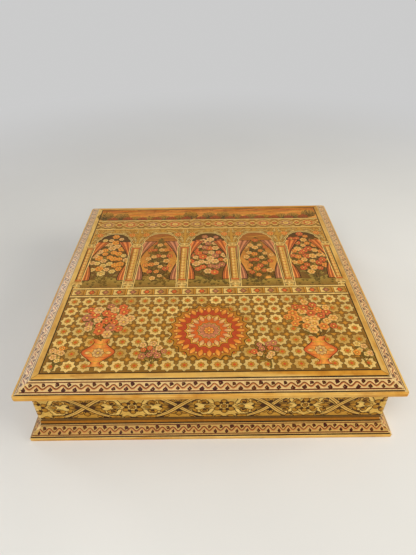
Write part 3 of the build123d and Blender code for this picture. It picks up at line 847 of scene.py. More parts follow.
# strokes of one half of a lens: distance, height, angle, length, width, fill, coat, bend, belly; an angle of
# 0 points to the crossing, and every stroke off the middle line is mirrored in it
nearCrossing = ((13.4, 0.0, 0.0, 9.4, 8.6, "arrow", 6, 0.0, 0.62),
                (13.4, 0.0, 0.0, 5.0, 3.6, "bud", 8, 0.0, 1.0),
                (8.0, 0.0, 0.0, 4.0, 3.0, "ink", 7, 0.0, 0.62),
                (11.4, 3.2, 146, 5.4, 3.0, "bud", 5, -0.2, 1.0),
                (12.4, 0.0, 180, 9.8, 8.6, "cream", 4, 0.0, 0.74),
                (12.9, 0.0, 180, 2.6, 2.0, "ink", 7, 0.0, 0.8),
                (17.4, 4.9, 168, 5.2, 4.8, "bud", 7, -0.15, 1.2),
                (11.2, 5.6, 118, 4.6, 1.5, "ink", 4, 0.2, 1.0),
                (17.8, 8.0, 160, 6.6, 3.4, "cream", 4, 0.3, 1.0),
                (18.6, 12.2, 172, 6.4, 3.6, "bud", 17, -0.15, 1.2),
                (27.4, 13.0, 10, 5.2, 3.0, "gold", 17, 0.1, 1.2),
                (14.6, 8.4, 150, 3.4, 1.3, "ink", 6, 0.2, 1.0))
nearMiddle = ((10.6, 0.0, 0.0, 5.4, 3.6, "bud", 7, 0.0, 1.4),
              (9.2, 0.0, 0.0, 9.6, 5.8, "cream", 4, 0.0, 1.1),
              (8.8, 3.0, 40, 8.4, 3.6, "cream", 5, 0.3, 0.9),
              (10.4, 8.2, 12, 6.4, 3.4, "cream", 4, -0.25, 1.0),
              (2.2, 12.6, 4, 5.8, 3.0, "gold", 17, 0.1, 1.2),
              (10.2, 12.6, -4, 5.2, 2.8, "bud", 17, 0.15, 1.3),
              (12.4, 4.7, -30, 3.6, 1.3, "ink", 7, 0.2, 1.0), (9.4, 10.6, 30, 3.6, 1.2, "ink", 6, 0.2, 1.0))
# the spread leaf in each angle of a crossing, three lobes and a dark heart, and the drops beside it
trefoil = ((2.6, 2.2, 0.9, 4.8, 3.6, "bud", 4), (-2.6, 2.2, -0.9, 4.8, 3.6, "bud", 4),
           (0.0, 3.2, 0.0, 5.2, 4.2, "bud", 6), (0.0, 0.2, 0.0, 3.2, 3.6, "ink", 6))
edgeDrops = ((8.4, 8.4, 0.1, "bud", 2.6), (13.0, 10.0, -0.1, "ink", 1.4))
rosette = {"petals": 6, "petal": (4.2, 5.0, 4.4), "between": (3.6, 2.8, 1.7), "eye": 2.0, "heart": 0.8,
           "buds": (15.4, 5.2)}  # distance from the middle, length and width; the buds stand aside and up
wallMiddle = sum(wallArt["field"]) / 2


def wallBands(sheet, quarter):
    # level bands of colour from the plinth up, and the ruled lines between them
    tall, edging = wallSize["high"] - wallSize["low"], wallArt["band"][0]
    low, high = wallArt["field"]

    def reach(t):
        return wallSize["half"]

    for bottom, upper, colour in ((*wallArt["strip"], "strip"), (*wallArt["band"], "band"),
                                  (low, high, "ground"), (high, tall - edging, "band"),
                                  (tall - edging, tall, "strip")):
        ruled(sheet, 1, bottom + 0.02, upper - 0.02, reach, colour, shake=0.0)
    rules = ((wallArt["foot"], 0.7), (edging, 0.5), (low, 0.7), (high, 0.7), (tall - edging, 0.5))
    for seed, (level, thick) in enumerate(rules, 1 + quarter):
        ruled(sheet, 19, level - thick / 2, level + thick / 2, reach, "black", seed, 0.08)


def straps(sheet, quarter, knots):
    # height = middle +- lens * tanh(swell * sin(pi * x)) / tanh(swell), x being 0 to 1 between two crossings
    lens, swell = wallArt["lens"], wallArt["swell"]
    s = np.linspace(0.2 - wallSize["half"], wallSize["half"] - 0.2, 360)
    cell = np.clip(np.searchsorted(knots, s) - 1, 0, len(knots) - 2)
    x = (s - knots[cell]) / (knots[cell + 1] - knots[cell])
    rise = lens * np.tanh(swell * np.sin(np.pi * x)) / np.tanh(swell)
    inside = np.stack([at(s, wallMiddle - rise), at(s, wallMiddle + rise)], 1)
    layGrid(sheet, 2, inside[None], perStroke(sheet, "deep", 1))
    width = wallArt["strap"] * (1 - wallArt["narrowing"] * (rise / lens)[None] ** 3)
    for sign, coat in ((1, 12), (-1, 16)):
        side = sign * np.where(cell % 2, 1, -1)
        path = at(s, wallMiddle + side * rise + drift(s, quarter, 0.25))
        ribbon(sheet, coat, path, width + wallArt["strapInk"], "ink")
        ribbon(sheet, coat + 1, path, width, "strap")
        ribbon(sheet, coat + 2, path + [0, 0.12], width * 0.24, "crease")


def inked(sheet, coat, base, angle, length, width, kind, bend=0.0, belly=1.0):
    # leaves set down by hand, each a little off its place and size; any past the wall's end is left out
    rng = sheet["rng"]
    base = np.asarray(base, float) + rng.normal(0, 0.14, np.shape(base))
    ahead = base[:, 0] + length * 0.7 * np.cos(angle)
    kept = np.minimum(np.abs(base[:, 0]), np.abs(ahead)) < wallSize["half"] - 0.8
    if kept.any():
        base, angle = base[kept], np.broadcast_to(angle, len(kept))[kept]
        unlike = rng.uniform(0.92, 1.08, len(base))
        leaves(sheet, coat, base, angle + rng.normal(0, 0.05, len(base)), length * unlike, width * unlike,
               *wallFills[kind], bend=bend, belly=belly, rim=wallArt["inking"])


def lensLeaves(sheet, centre, wide):
    for strokes, start, way in ((nearCrossing, wide, -1), (nearMiddle, 0 * wide, 1)):
        for out, up, angle, length, width, kind, coat, bend, belly in strokes:
            for across in (1, -1):
                for lift in (1, -1) if up else (1,):
                    base = at(centre + across * (start + way * out), wallMiddle + lift * up)
                    turn = np.radians(angle if across > 0 else 180 - angle) * lift
                    inked(sheet, coat, base, turn, length, width, kind, bend * across * lift, belly)


def rosettes(sheet, centre):
    # six oval petals round a small eye, and curled buds to right and left of it
    petal, aside = np.radians(np.arange(0, 360, 360 / rosette["petals"]) + 30), np.pi / 2
    near, long, broad = rosette["petal"]
    inner, short, slim = rosette["between"]
    for across in centre[np.abs(centre) < wallSize["half"] + 6]:
        heart = np.array([across, wallMiddle]) + sheet["rng"].normal(0, 0.2, 2)
        inked(sheet, 8, heart + near * pointing(petal), petal, long, broad, "bud", belly=1.1)
        between = petal + np.pi / rosette["petals"]
        inked(sheet, 10, heart + inner * pointing(between), between, short, slim, "ink")
        if abs(heart[0]) < wallSize["half"] - 2.6:
            discs(sheet, 11, [heart], rosette["eye"], "goldTip", "gold", spokes=14, rim=0.6)
            discs(sheet, 13, [heart], rosette["heart"], "ink", "ink", None, spokes=10, rings=1)
        for way, lift in fourWays:
            bud = heart + [[rosette["buds"][0] * way, lift * rosette["buds"][1]]]
            inked(sheet, 9, bud + [[-2.4 * way, -lift]], aside - way * (aside - lift * 0.5), 5.2, 4.6,
                  "bud", belly=1.3)
            inked(sheet, 11, bud + [[-0.6 * way, 0.3 * lift]], aside - way * (aside + lift * 0.7), 2.6, 0.9,
                  "ink", 0.3 * way * lift)


def trefoils(sheet, crossings):
    # a spread leaf in the upper and lower angle of each crossing, with drops along the edge beside it
    for lift in (1, -1):
        foot = at(crossings, wallMiddle + lift * 3.2)
        for out, up, tilt, length, width, kind, coat in trefoil:
            inked(sheet, coat, foot + [-lift * out, lift * up], lift * np.pi / 2 + tilt, length, width,
                  kind, belly=1.2)
        for way in (1, -1):
            for out, up, angle, kind, width in edgeDrops:
                inked(sheet, 4, foot + [way * out, lift * up], facing(angle, way) * lift, 4.2, width, kind,
                      0.1 * way * lift)


for quarter, side in enumerate(quarters):
    paint = newPaint(f"wall_scroll_{side}", wallColours)
    wall = board(paint, (0, -wallSize["half"], wallSize["low"]), (0, 0, 1), quarter, wallSize["half"] - 0.12)
    wallBands(wall, quarter)
    wall.update(low=wallArt["field"][0], high=wallArt["field"][1], rng=np.random.default_rng(40 + quarter))
    knots = np.sort(np.array(wallArt["crossings"]) * (1 if quarter % 2 == 0 else -1))
    centre, wide = (knots[1:] + knots[:-1]) / 2, np.diff(knots) / 2
    straps(wall, quarter, knots)
    lensLeaves(wall, centre, wide)
    rosettes(wall, centre)
    trefoils(wall, knots[1:-1])
    hang(paint, "box_body")


# the garden picture on the lid: star-tiled terrace, arcade with curtains and flowering plants, frieze
garden = {"ink": (36, 24, 14), "olive": (132, 96, 44), "gold": (214, 158, 68), "goldDeep": (176, 118, 44),
          "cream": (238, 206, 140), "creamDeep": (214, 174, 104), "coral": (206, 84, 50),
          "coralLight": (228, 124, 76), "red": (178, 66, 44), "orange": (222, 124, 44),
          "orangeLight": (240, 168, 84), "mauve": (166, 98, 86), "rose": (212, 134, 104),
          "brown": (112, 66, 30), "dusk": (196, 116, 46), "duskDeep": (140, 78, 34),
          "skyDeep": (168, 94, 40), "shade": (128, 92, 44), "shadeDeep": (70, 48, 24),
          "paving": (142, 100, 50), "plaster": (196, 146, 68), "heart": (236, 190, 96),
          "leafDark": (70, 56, 28), "leaf": (118, 98, 44), "leafLight": (172, 146, 74),
          "cypress": (88, 74, 34), "curtain": (168, 58, 38), "curtainFold": (240, 150, 86),
          "drape": (138, 76, 70), "drapeFold": (224, 152, 118)}
blooms = {"warm": (("red", "coralLight"), ("coral", "orangeLight"), ("orange", "cream")),
          "soft": (("mauve", "rose"), ("rose", "cream"), ("coral", "coralLight")),
          "pale": (("creamDeep", "cream"), ("orange", "orangeLight"), ("rose", "cream"))}
small = {"petals": 5, "size": (2.4, 3.4), "low": 0.35, "leaf": 4.6, "sway": 1.5}
plants = {"vase": {"tall": 47.0, "wide": 46.0, "flowers": 23, "petals": 6, "size": (3.6, 5.2),
                   "low": 0.16, "leaf": 6.2, "sway": 1.5},
          "pot": {"tall": 30.0, "wide": 22.0, "flowers": 10, **small},
          "corner": {"tall": 26.0, "wide": 14.0, "flowers": 6, **small},
          "climber": {"tall": 80.0, "wide": 30.0, "flowers": 24, "petals": 5, "size": (2.6, 3.8),
                      "low": 0.08, "leaf": 4.4, "sway": 6.0},
          "bush": {"tall": 90.0, "wide": 42.0, "flowers": 40, "petals": 6, "size": (3.0, 4.8),
                   "low": 0.16, "leaf": 6.0, "sway": 2.5}}
bays = 5
pictureWide = pictureHalf - 1.15
bayWide = 2 * pictureWide / bays
zones = {"terrace": (-pictureWide, -40.1), "rail": (-40.1, -26.0), "arcade": (-26.0, 86.0),
         "frieze": (86.0, 107.0), "sky": (107.0, pictureWide)}


def canvas(name):
    return board(newPaint(name, garden), (0, 0, lidSize["top"]), (0, 1, 0))


def field(sheet, coat, y0, y1, low, high, rows, x0=-pictureWide, x1=pictureWide):
    # a rectangle whose colour runs from low at its foot to high at its head
    xy = np.stack(np.meshgrid((x0, x1), np.linspace(y1, y0, rows)), -1)[None]
    share = np.linspace(1, 0, rows)[None, :, None, None]
    layGrid(sheet, coat, xy, linear(garden[low]) * (1 - share) + linear(garden[high]) * share)


def tiles(sheet, coat, centre, wide, high, colour, side=None):
    # many rectangles at once; side is the colour of the right-hand edge
    wide, high = each(len(centre), wide, high)
    corner = np.array([[[-0.5, -0.5], [-0.5, 0.5]], [[0.5, -0.5], [0.5, 0.5]]])
    xy = centre[:, None, None] + corner[None] * at(wide, high)[:, None, None]
    left, right = [perStroke(sheet, tone, len(centre)) for tone in (colour, side or colour)]
    layGrid(sheet, coat, xy, np.stack([left, right], 1)[:, :, None])


def lines(sheet, coat, levels, thick, colour, seed=0):
    s = np.linspace(-pictureWide, pictureWide, 60)
    for i, y in enumerate(levels):
        ribbon(sheet, coat, at(s, y + drift(s, seed + i, 0.12)), thick, colour)


def blossoms(sheet, coat, centre, radius, petals, fill, tip, turn=0.0):
    # round a heart stand so many petals, each a leaf shape widest near its tip
    centre = np.atleast_2d(np.asarray(centre, float))
    count = len(centre)
    radius, turn = each(count, radius, turn)
    a = (turn[:, None] + np.arange(petals) * 2 * np.pi / petals).ravel()
    r = np.repeat(radius, petals)
    base = np.repeat(centre, petals, 0) + 0.12 * r[:, None] * pointing(a)
    colours = [np.repeat(np.broadcast_to(toneOf(sheet, tone), (count, 3)), petals, 0)
               for tone in (fill, tip)]
    leaves(sheet, coat, base, a, r * 0.9, r * 5.0 / petals, *colours, belly=1.55, rim=0.32)
    discs(sheet, coat + 2, centre, radius * 0.26, "heart", "heart", "brown", 0.2, 1, spokes=7)


def bezier(start, control, end, points=9):
    # (1 - u)^2 * start + 2 * u * (1 - u) * control + u^2 * end
    u = np.linspace(0, 1, points)[None, :, None]
    return (1 - u) ** 2 * start[:, None] + 2 * u * (1 - u) * control[:, None] + u ** 2 * end[:, None]


def plant(sheet, coat, foot, kind, palette, seed):
    # flower heads spread by the golden angle over an oval crown, each on a curved stalk with three leaves
    style, rng = plants[kind], np.random.default_rng(seed)
    tall, low, sway, count = [style[key] for key in ("tall", "low", "sway", "flowers")]
    k = np.arange(count)
    r, a = np.sqrt((k + 0.6) / count), k * golden + seed
    head = at(foot[0] + style["wide"] / 2 * r * np.cos(a),
              foot[1] + tall * (low + (1 - low) * (0.5 + 0.5 * r * np.sin(a))))
    head += rng.normal(0, 0.5, head.shape)
    share = np.clip((head[:, 1] - foot[1]) / tall, 0, 1)
    rise = np.maximum(share - rng.uniform(0.22, 0.34, count), 0.02)
    start = at(foot[0] + sway * np.sin(rise * 5 + seed), foot[1] + tall * rise)
    stalk = bezier(start, start * [0.35, 0.75] + head * [0.65, 0.25], head)
    t = np.linspace(0, 1, 20)
    trunk = at(foot[0] + sway * np.sin(t * 5 + seed) * (t > 0), foot[1] + tall * 0.86 * t)
    ribbon(sheet, coat, trunk, 1.7 - 1.2 * t[None], "ink")
    ribbon(sheet, coat + 1, trunk, 1.0 - 0.8 * t[None], "leaf")
    ribbon(sheet, coat, stalk, 0.5, "leafDark")
    for step, (u, lift) in enumerate(((3, 0.9), (5, -0.9), (6, 0.7))):  # a point of the stalk and a lean
        ahead = stalk[:, u] - stalk[:, u - 1]
        angle = np.arctan2(ahead[:, 1], ahead[:, 0]) + lift + rng.normal(0, 0.15, count)
        tone = np.array([garden["leaf"], garden["leafLight"], garden["olive"]])[rng.integers(0, 3, count)]
        leaves(sheet, coat + 1 + step, stalk[:, u], angle, style["leaf"] * rng.uniform(0.8, 1.2, count),
               style["leaf"] * 0.42, tone * 0.8, tone, bend=-0.06 * np.sign(lift), rows=5, rim=0.26)
    pick = rng.integers(0, len(blooms[palette]), count)
    fill, tip = [np.array([garden[pair[end]] for pair in blooms[palette]])[pick] for end in (0, 1)]
    blossoms(sheet, coat + 5, head, rng.uniform(*style["size"], count), style["petals"], fill, tip,
             rng.uniform(0, 6.28, count))


def clump(sheet, coat, centre, radius, seed, tones, dabs):
    # a rounded tree head: a dark disc with leaf dabs fanned over it in overlapping rows, lighter upwards
    rng = np.random.default_rng(seed)
    count = len(centre)
    radius = each(count, radius)[0]
    discs(sheet, coat, centre, radius, tones[0], tones[0], rim=0.3, spokes=16, lobes=8, depth=0.1)
    k = np.arange(dabs)
    offset = (np.sqrt((k + 0.5) / dabs) * 0.82)[:, None] * pointing(k * golden)
    base = (centre[:, None] + radius[:, None, None] * offset[None]).reshape(-1, 2)
    lift = np.tile(0.35 + 0.65 * (offset[:, 1] + 1) / 2, count)[:, None]
    light = toneOf(sheet, tones[1]) * lift + toneOf(sheet, tones[0]) * (1 - lift)
    angle = np.tile(np.arctan2(offset[:, 1] + 0.5, offset[:, 0]), count) + rng.normal(0, 0.25, count * dabs)
    long = np.repeat(radius, dabs) * 0.34
    leaves(sheet, coat + 1, base, angle, long, long * 0.5, light * 0.8, light * 1.15, None, rows=4)


skyStyle = {"clouds": (114.5, 117.5, 120.5, 123.5, 126.5, 129.5, 132.0), "across": (-104, -52, 0, 52, 104),
            "long": 24, "thick": 1.5, "thinner": 0.12, "birds": 26, "flight": (124, 132), "trees": 15,
            "bushes": 14}


def sky(sheet):
    style, rng, (y0, y1) = skyStyle, np.random.default_rng(3), zones["sky"]
    field(sheet, 1, y0, y1, "orangeLight", "skyDeep", 20)
    # clouds: long strokes in rows, each row moved along and thinner than the last
    for i, y in enumerate(style["clouds"]):
        for x in style["across"]:
            t = np.linspace(-style["long"], style["long"], 18)
            path = at(x + 11 * i % 23 - 9 + t, y + 1.2 * np.sin(t / 8 + i + x))
            path = path[np.abs(path[:, 0]) < pictureWide - 0.5]
            u = np.linspace(0, np.pi, len(path))
            ribbon(sheet, 2, path, 0.2 + (style["thick"] - style["thinner"] * i) * np.sin(u)[None],
                   ("orangeLight", "gold", "orange")[i % 3])
    bird = at(rng.uniform(-128, 128, style["birds"]), rng.uniform(*style["flight"], style["birds"]))
    for wing in (1, -1):  # each bird is two curved strokes
        leaves(sheet, 3, bird, np.pi / 2 - wing * 0.95, 2.6, 0.75, "ink", "ink", None, bend=-0.3 * wing,
               rows=5)
    trees, bushes = style["trees"], style["bushes"]
    far, near = np.linspace(-126, 126, trees), np.linspace(-117, 117, bushes)
    crowns = at(far + rng.normal(0, 1.5, trees), 113 + 4.5 * np.cos(far / 21) + rng.normal(0, 1, trees))
    clump(sheet, 3, crowns, rng.uniform(7.5, 10.5, trees), 5, ("leafDark", "gold"), 60)
    clump(sheet, 6, at(near, 108 + rng.normal(0, 0.8, bushes)), rng.uniform(6, 7.6, bushes), 6,
          ("brown", "coral"), 34)


cartouche = {"spokes": 32, "lobes": 4, "depth": 0.22, "squeeze": 0.66}
friezeStyle = {"band": 2.2, "rule": 0.55, "cartouche": 11.2, "medallion": 8.6, "flower": 3.9, "between": 2.6}
# sprigs that fill the ground above and below each cartouche: distance, height, angle, length
sprigs = ((3.4, 6.9, 0.18, 4.4), (6.6, 5.6, 0.62, 4.2), (5.2, 7.9, -0.1, 3.0))


def frieze(sheet):
    # lobed cartouches with flowers between ruled lines
    style, (y0, y1) = friezeStyle, zones["frieze"]
    middle = (y0 + y1) / 2
    field(sheet, 10, y0, y1, "olive", "goldDeep", 4)
    lines(sheet, 11, (y0 + 0.6, y1 - 0.6), style["band"], "cream")
    lines(sheet, 12, (y0 - 0.5, y0 + 1.8, y1 - 1.8, y1 + 0.5), style["rule"], "ink")
    x = (np.arange(bays * 2) + 0.5) * bayWide / 2 - pictureWide
    warm = np.where(np.arange(len(x))[:, None] % 2, garden["coral"], garden["mauve"])
    discs(sheet, 12, at(x, middle), style["cartouche"], "cream", "creamDeep", rim=0.4, **cartouche)
    discs(sheet, 14, at(x, middle), style["medallion"], warm * 1.08, warm, "brown", 0.25, **cartouche)
    blossoms(sheet, 16, at(x, middle), style["flower"], 8, "gold", "cream")
    for way in (1, -1):
        leaves(sheet, 16, at(x + way * 3.6, middle), facing(0.0, way), 4.2, 2.2, "gold", "cream", rim=0.2)
        for lift in (1, -1):
            for out, up, angle, long in sprigs:
                leaves(sheet, 11, at(x + way * out, middle + lift * up), facing(angle * lift, way), long,
                       1.5, "gold", "cream", "brown", 0.1 * lift * way, rim=0.16)
            leaves(sheet, 12, at(x + way * 9.6, middle + lift * 1.2), facing(0.9 * lift, way), 6.0, 2.6,
                   "gold", "cream", bend=-0.08 * lift * way)
    between = np.arange(bays * 2 + 1)[1:-1] * bayWide / 2 - pictureWide
    blossoms(sheet, 15, at(between, middle), style["between"], 6, "red", "coralLight")


def outline(sheet, inset=0.55, thick=1.05):
    # the black line round the whole picture; its ends run on a little to close the corners
    edge = np.array([[-1, -1], [1, -1], [1, 1], [-1, 1]]) * (pictureHalf - inset)
    for a, b in zip(edge, np.roll(edge, -1, 0)):
        ribbon(sheet, 20, a + (b - a) * np.linspace(-0.0019, 1.0019, 60)[:, None], thick, "ink")


# star tiles: their parts, as shares of the distance from one to the next, and the share of deeper cream ones
starShape = {"spokes": 16, "lobes": 8, "depth": 0.26}
paving = {"perBay": 4, "rows": 7, "star": 0.5, "middle": 0.25, "eye": 0.09, "cross": 0.2, "deeper": 0.25}
# the carpet's lobed discs: radius, middle and rim colour, lobes and their depth; and its rings of petals:
# radius, count, length, width and colours
carpetRings = ((36.5, "ink", "ink", 24, 0.1), (35.6, "gold", "goldDeep", 24, 0.1),
               (32.6, "coral", "red", 24, 0.1), (22.5, "ink", "ink", 16, 0.12),
               (21.9, "gold", "gold", 16, 0.12), (20.6, "orange", "coral", 16, 0.12),
               (11.2, "ink", "ink", 12, 0.14), (10.7, "cream", "creamDeep", 12, 0.14))
carpetPetals = ((23.5, 24, 8.0, 4.2, "orange", "orangeLight"), (12.4, 16, 7.6, 3.8, "rose", "cream"))
carpetSqueeze = 0.98


def terrace():
    sheet = canvas("picture_terrace")
    y0, y1 = zones["terrace"]
    rng = np.random.default_rng(8)
    field(sheet, 1, y0, y1, "olive", "paving", 8)
    pitch, across = bayWide / paving["perBay"], paving["perBay"] * bays
    x, y = [q.ravel() for q in np.meshgrid((np.arange(across) - across / 2 + 0.5) * pitch,
                                           (np.arange(paving["rows"]) + 0.5) * pitch + y0)]
    star = at(x, y)
    shade = rng.uniform(0.9, 1.04, (len(star), 1))
    deeper = rng.uniform(size=(len(star), 1)) < paving["deeper"]
    tone = np.where(deeper, garden["creamDeep"], garden["cream"]) * shade
    discs(sheet, 2, star, pitch * paving["star"], tone, tone * 0.95, rim=0.45, **starShape)
    discs(sheet, 4, star, pitch * paving["middle"], "gold", "goldDeep", "brown", 0.16, **starShape)
    discs(sheet, 6, star, pitch * paving["eye"], "coral", "coral", "brown", 0.12, 1, spokes=8)
    cross = star + pitch / 2
    cross = cross[(np.abs(cross[:, 0]) < pictureWide - 2) & (cross[:, 1] < y1 - 2)]
    discs(sheet, 2, cross, pitch * paving["cross"], "gold", "goldDeep", rim=0.25, spokes=8, lobes=4,
          depth=0.3)
    middle = np.array([[0.0, (y0 + y1) / 2 - 1.0]])
    for i, (radius, inner, outer, lobes, depth) in enumerate(carpetRings):
        discs(sheet, 8 + i, middle, radius, inner, outer, None, rings=3, spokes=lobes * 6, lobes=lobes,
              depth=depth, squeeze=carpetSqueeze)
    for radius, count, length, wide, fill, tip in carpetPetals:
        a = np.arange(count) * 2 * np.pi / count
        leaves(sheet, 17, middle + radius * pointing(a) * [1, carpetSqueeze], a, length, wide, fill, tip)
        bead = pointing(a + np.pi / count) * [1, carpetSqueeze]
        discs(sheet, 19, middle + (radius + length * 0.62) * bead, 1.0, "cream", "gold", rings=1, spokes=8)
    blossoms(sheet, 17, middle, 9.4, 12, "mauve", "rose")
    blossoms(sheet, 20, middle, 4.6, 8, "coral", "orangeLight")
    hang(sheet["paint"], "lid")


# humps are how far, where and how wide; bands are where, how thick and of what colour
vaseStyle = {"across": 92.0, "up": 6.0, "tall": 31.0, "half": 4.2,
             "humps": ((9.5, 0.5, 0.22), (3.2, 1.0, 0.08), (-1.6, 0.14, 0.07), (2.4, 0.0, 0.05)),
             "bands": ((0.2, 1.0, "gold"), (0.82, 1.2, "gold"), (0.34, 0.5, "red"), (0.68, 0.5, "red"))}


def vase(sheet, foot):
    # half its width at height t = half + far * exp(-((t - where) / wide)^2), summed over the humps
    t = np.linspace(0, 1, 26)
    half = sum([far * np.exp(-((t - where) / wide) ** 2) for far, where, wide in vaseStyle["humps"]],
               vaseStyle["half"])
    v = np.array([-1, -0.6, 0, 0.6, 1.0])
    mix = np.abs(v)[None, None, :, None] ** 1.5
    for grow, inner, outer, coat in ((0.6, "ink", "ink", 9), (0.0, "orangeLight", "coral", 10)):
        xy = at(foot[0] + (half + grow)[:, None] * v,
                (foot[1] + vaseStyle["tall"] * t)[:, None] + grow * (2 * t[:, None] - 1))
        tones = linear(garden[inner]) * (1 - mix) + linear(garden[outer]) * mix
        layGrid(sheet, coat, xy[None, :, ::-1], tones)
    for level, thick, colour in vaseStyle["bands"]:
        u = np.linspace(-1, 1, 11)
        sagging = foot[1] + vaseStyle["tall"] * level - 1.0 * (1 - u ** 2)
        ribbon(sheet, 12, at(foot[0] + u * np.interp(level, t, half), sagging), thick, colour)
    blossoms(sheet, 12, foot + [0, 15.0], 5.0, 8, "mauve", "cream")
    for way in (1, -1):
        leaves(sheet, 12, [foot + [way * 5.6, 15.0]], facing(0.0, way), 5.4, 3.0, "gold", "cream")


def vases():
    sheet = canvas("picture_vases")
    y0, y1 = zones["terrace"]
    for i, way in enumerate((-1, 1)):
        foot = np.array([way * vaseStyle["across"], y0 + vaseStyle["up"]])
        vase(sheet, foot)
        plant(sheet, 13, foot + [0, 29.0], "vase", "warm" if i else "soft", 11 + 7 * i)
    for i, (x, kind, palette) in enumerate(((-48.0, "pot", "soft"), (48.0, "pot", "soft"),
                                            (-126.0, "corner", "pale"), (126.0, "corner", "pale"))):
        plant(sheet, 5, np.array([x, y0 + 2.5]), kind, palette, 31 + i)
    hang(sheet["paint"], "lid")


def railing(panels=20):
    sheet = canvas("picture_railing")
    y0, y1 = zones["rail"]
    field(sheet, 12, y0, y1, "goldDeep", "gold", 4)
    lines(sheet, 13, (y0 + 1.0, y1 - 1.0), 2.0, "cream")
    lines(sheet, 14, (y0 - 0.2, y0 + 2.2, y1 - 2.2, y1 + 0.2), 0.6, "ink", 4)
    wide = 2 * pictureWide / panels
    spot = at((np.arange(panels) + 0.5) * wide - pictureWide, (y0 + y1) / 2)
    tiles(sheet, 13, spot, wide - 1.6, y1 - y0 - 5.6, "ink")
    tiles(sheet, 14, spot, wide - 2.4, y1 - y0 - 6.4, "cream", "goldDeep")
    pair = np.where(np.arange(panels)[:, None] % 2, garden["coral"], garden["mauve"])
    discs(sheet, 15, spot, 3.5, "creamDeep", "olive", spokes=24, lobes=4, depth=0.3)
    blossoms(sheet, 17, spot, 2.2, 6, pair, pair * 1.2)
    hang(sheet["paint"], "lid")


archStyle = {"spring": 46.0, "rise": 30.0, "half": bayWide / 2 - 4.6, "cusps": 9, "depth": 0.075,
             "points": 46, "dots": 420}
curtainStyle = {"low": 12.0, "tie": 0.45, "least": 2.6, "top": 15.5, "tail": 6.5, "folds": 3}
# a spandrel's leaves, each with its place across and up, angle, length and width, and its curling stems
spandrelLeaves = ((13.4, 75.5, 2.75, 8.0, 3.0), (19.6, 67.2, -1.0, 6.5, 2.6), (22.6, 75.6, 0.9, 4.5, 2.4),
                  (21.5, 63.0, -0.9, 6.0, 2.2))
spandrelStems = (((24.6, 56), (24.5, 66), (20.5, 69)), ((17.0, 76), (12.0, 83), (4.0, 81.5)),
                 ((21.0, 76), (25.5, 80), (24.5, 84)))
rosettePlace = (18.5, 72.5)
bayStyle = {"clouds": (14, 74, 7.5), "hill": 15, "swell": 4, "tufts": 34, "foot": 6.0, "cypressFoot": 10,
            "tall": 82.0, "wide": 21.0, "dabs": 230, "bushes": {0: "pale", 2: "soft", 4: "warm"}}


def gardenBay(sheet, bay, x):
    # every second bay opens on a dusk sky with a cypress, and the others on a flowering bush in shade
    style, (y0, y1) = bayStyle, zones["arcade"]
    dusk = bay % 2 == 1
    tones = ("orangeLight", "duskDeep") if dusk else ("shade", "shadeDeep")
    field(sheet, 1, y0, y1, *tones, 22, x - bayWide / 2, x + bayWide / 2)
    if dusk:
        for i, y in enumerate(np.arange(*style["clouds"])):
            t = np.linspace(-1, 1, 16)
            path = at(x + t * 15 + 5 * np.sin(i * 2.1), y + 1.1 * np.sin(t * 4 + i))
            ribbon(sheet, 2, path, 0.2 + 1.1 * np.cos(t * 1.5)[None], "gold" if i % 2 else "dusk")
        far = at(x + np.linspace(-22, 22, 7), -6.0 + 3 * np.cos(np.arange(7) * 1.7))
        clump(sheet, 3, far, 6.2, 50 + bay, ("leafDark", "goldDeep"), 26)
    # the ground climbs to hill + swell * cos(3 * u + bay), where u is -1 to 1 across the bay
    u = np.linspace(-1, 1, 24)
    ground = at(x + u * bayWide / 2, y0)
    crest = ground + at(0.0, style["hill"] + style["swell"] * np.cos(u * 3 + bay))
    shades = np.stack([perStroke(sheet, tone, 24) for tone in ("olive", "leafLight")], 1)
    layGrid(sheet, 4, np.stack([ground, crest], 1)[None], shades[None])
    ribbon(sheet, 5, crest, 0.5, "ink")
    rng = np.random.default_rng(60 + bay)
    tuft = at(x + rng.uniform(-24, 24, style["tufts"]), y0 + rng.uniform(1, 14, style["tufts"]))
    for tilt in (-0.5, 0.0, 0.5):
        leaves(sheet, 5, tuft, np.pi / 2 + tilt, 3.6, 1.0, "leafDark", "leaf", None, rows=4)
    if dusk:
        # a cypress: a tall pointed body with rows of dabs, and a climbing plant before it
        tall, wide, dabs, root = style["tall"], style["wide"], style["dabs"], y0 + style["cypressFoot"]
        leaves(sheet, 5, [[x, root]], np.pi / 2, tall, wide, "leafDark", "cypress", belly=0.8, rows=24)
        t, v = rng.uniform(0.03, 0.95, dabs), rng.uniform(-1, 1, dabs)
        reach = 10.0 * np.sin(np.pi * t ** 0.8) ** 0.85
        tone = np.where(rng.uniform(size=(dabs, 1)) < 0.5, garden["leaf"], garden["olive"])
        leaves(sheet, 7, at(x + v * reach * 0.88, root + tall * t - 2), np.pi / 2 - v * 0.6, 4.2, 1.5,
               tone * 0.9, tone * 1.1, None, rows=4)
        plant(sheet, 7, np.array([x, y0 + style["foot"]]), "climber", "warm", 70 + bay)
    else:
        plant(sheet, 5, np.array([x, y0 + style["foot"]]), "bush", style["bushes"][bay], 80 + bay)


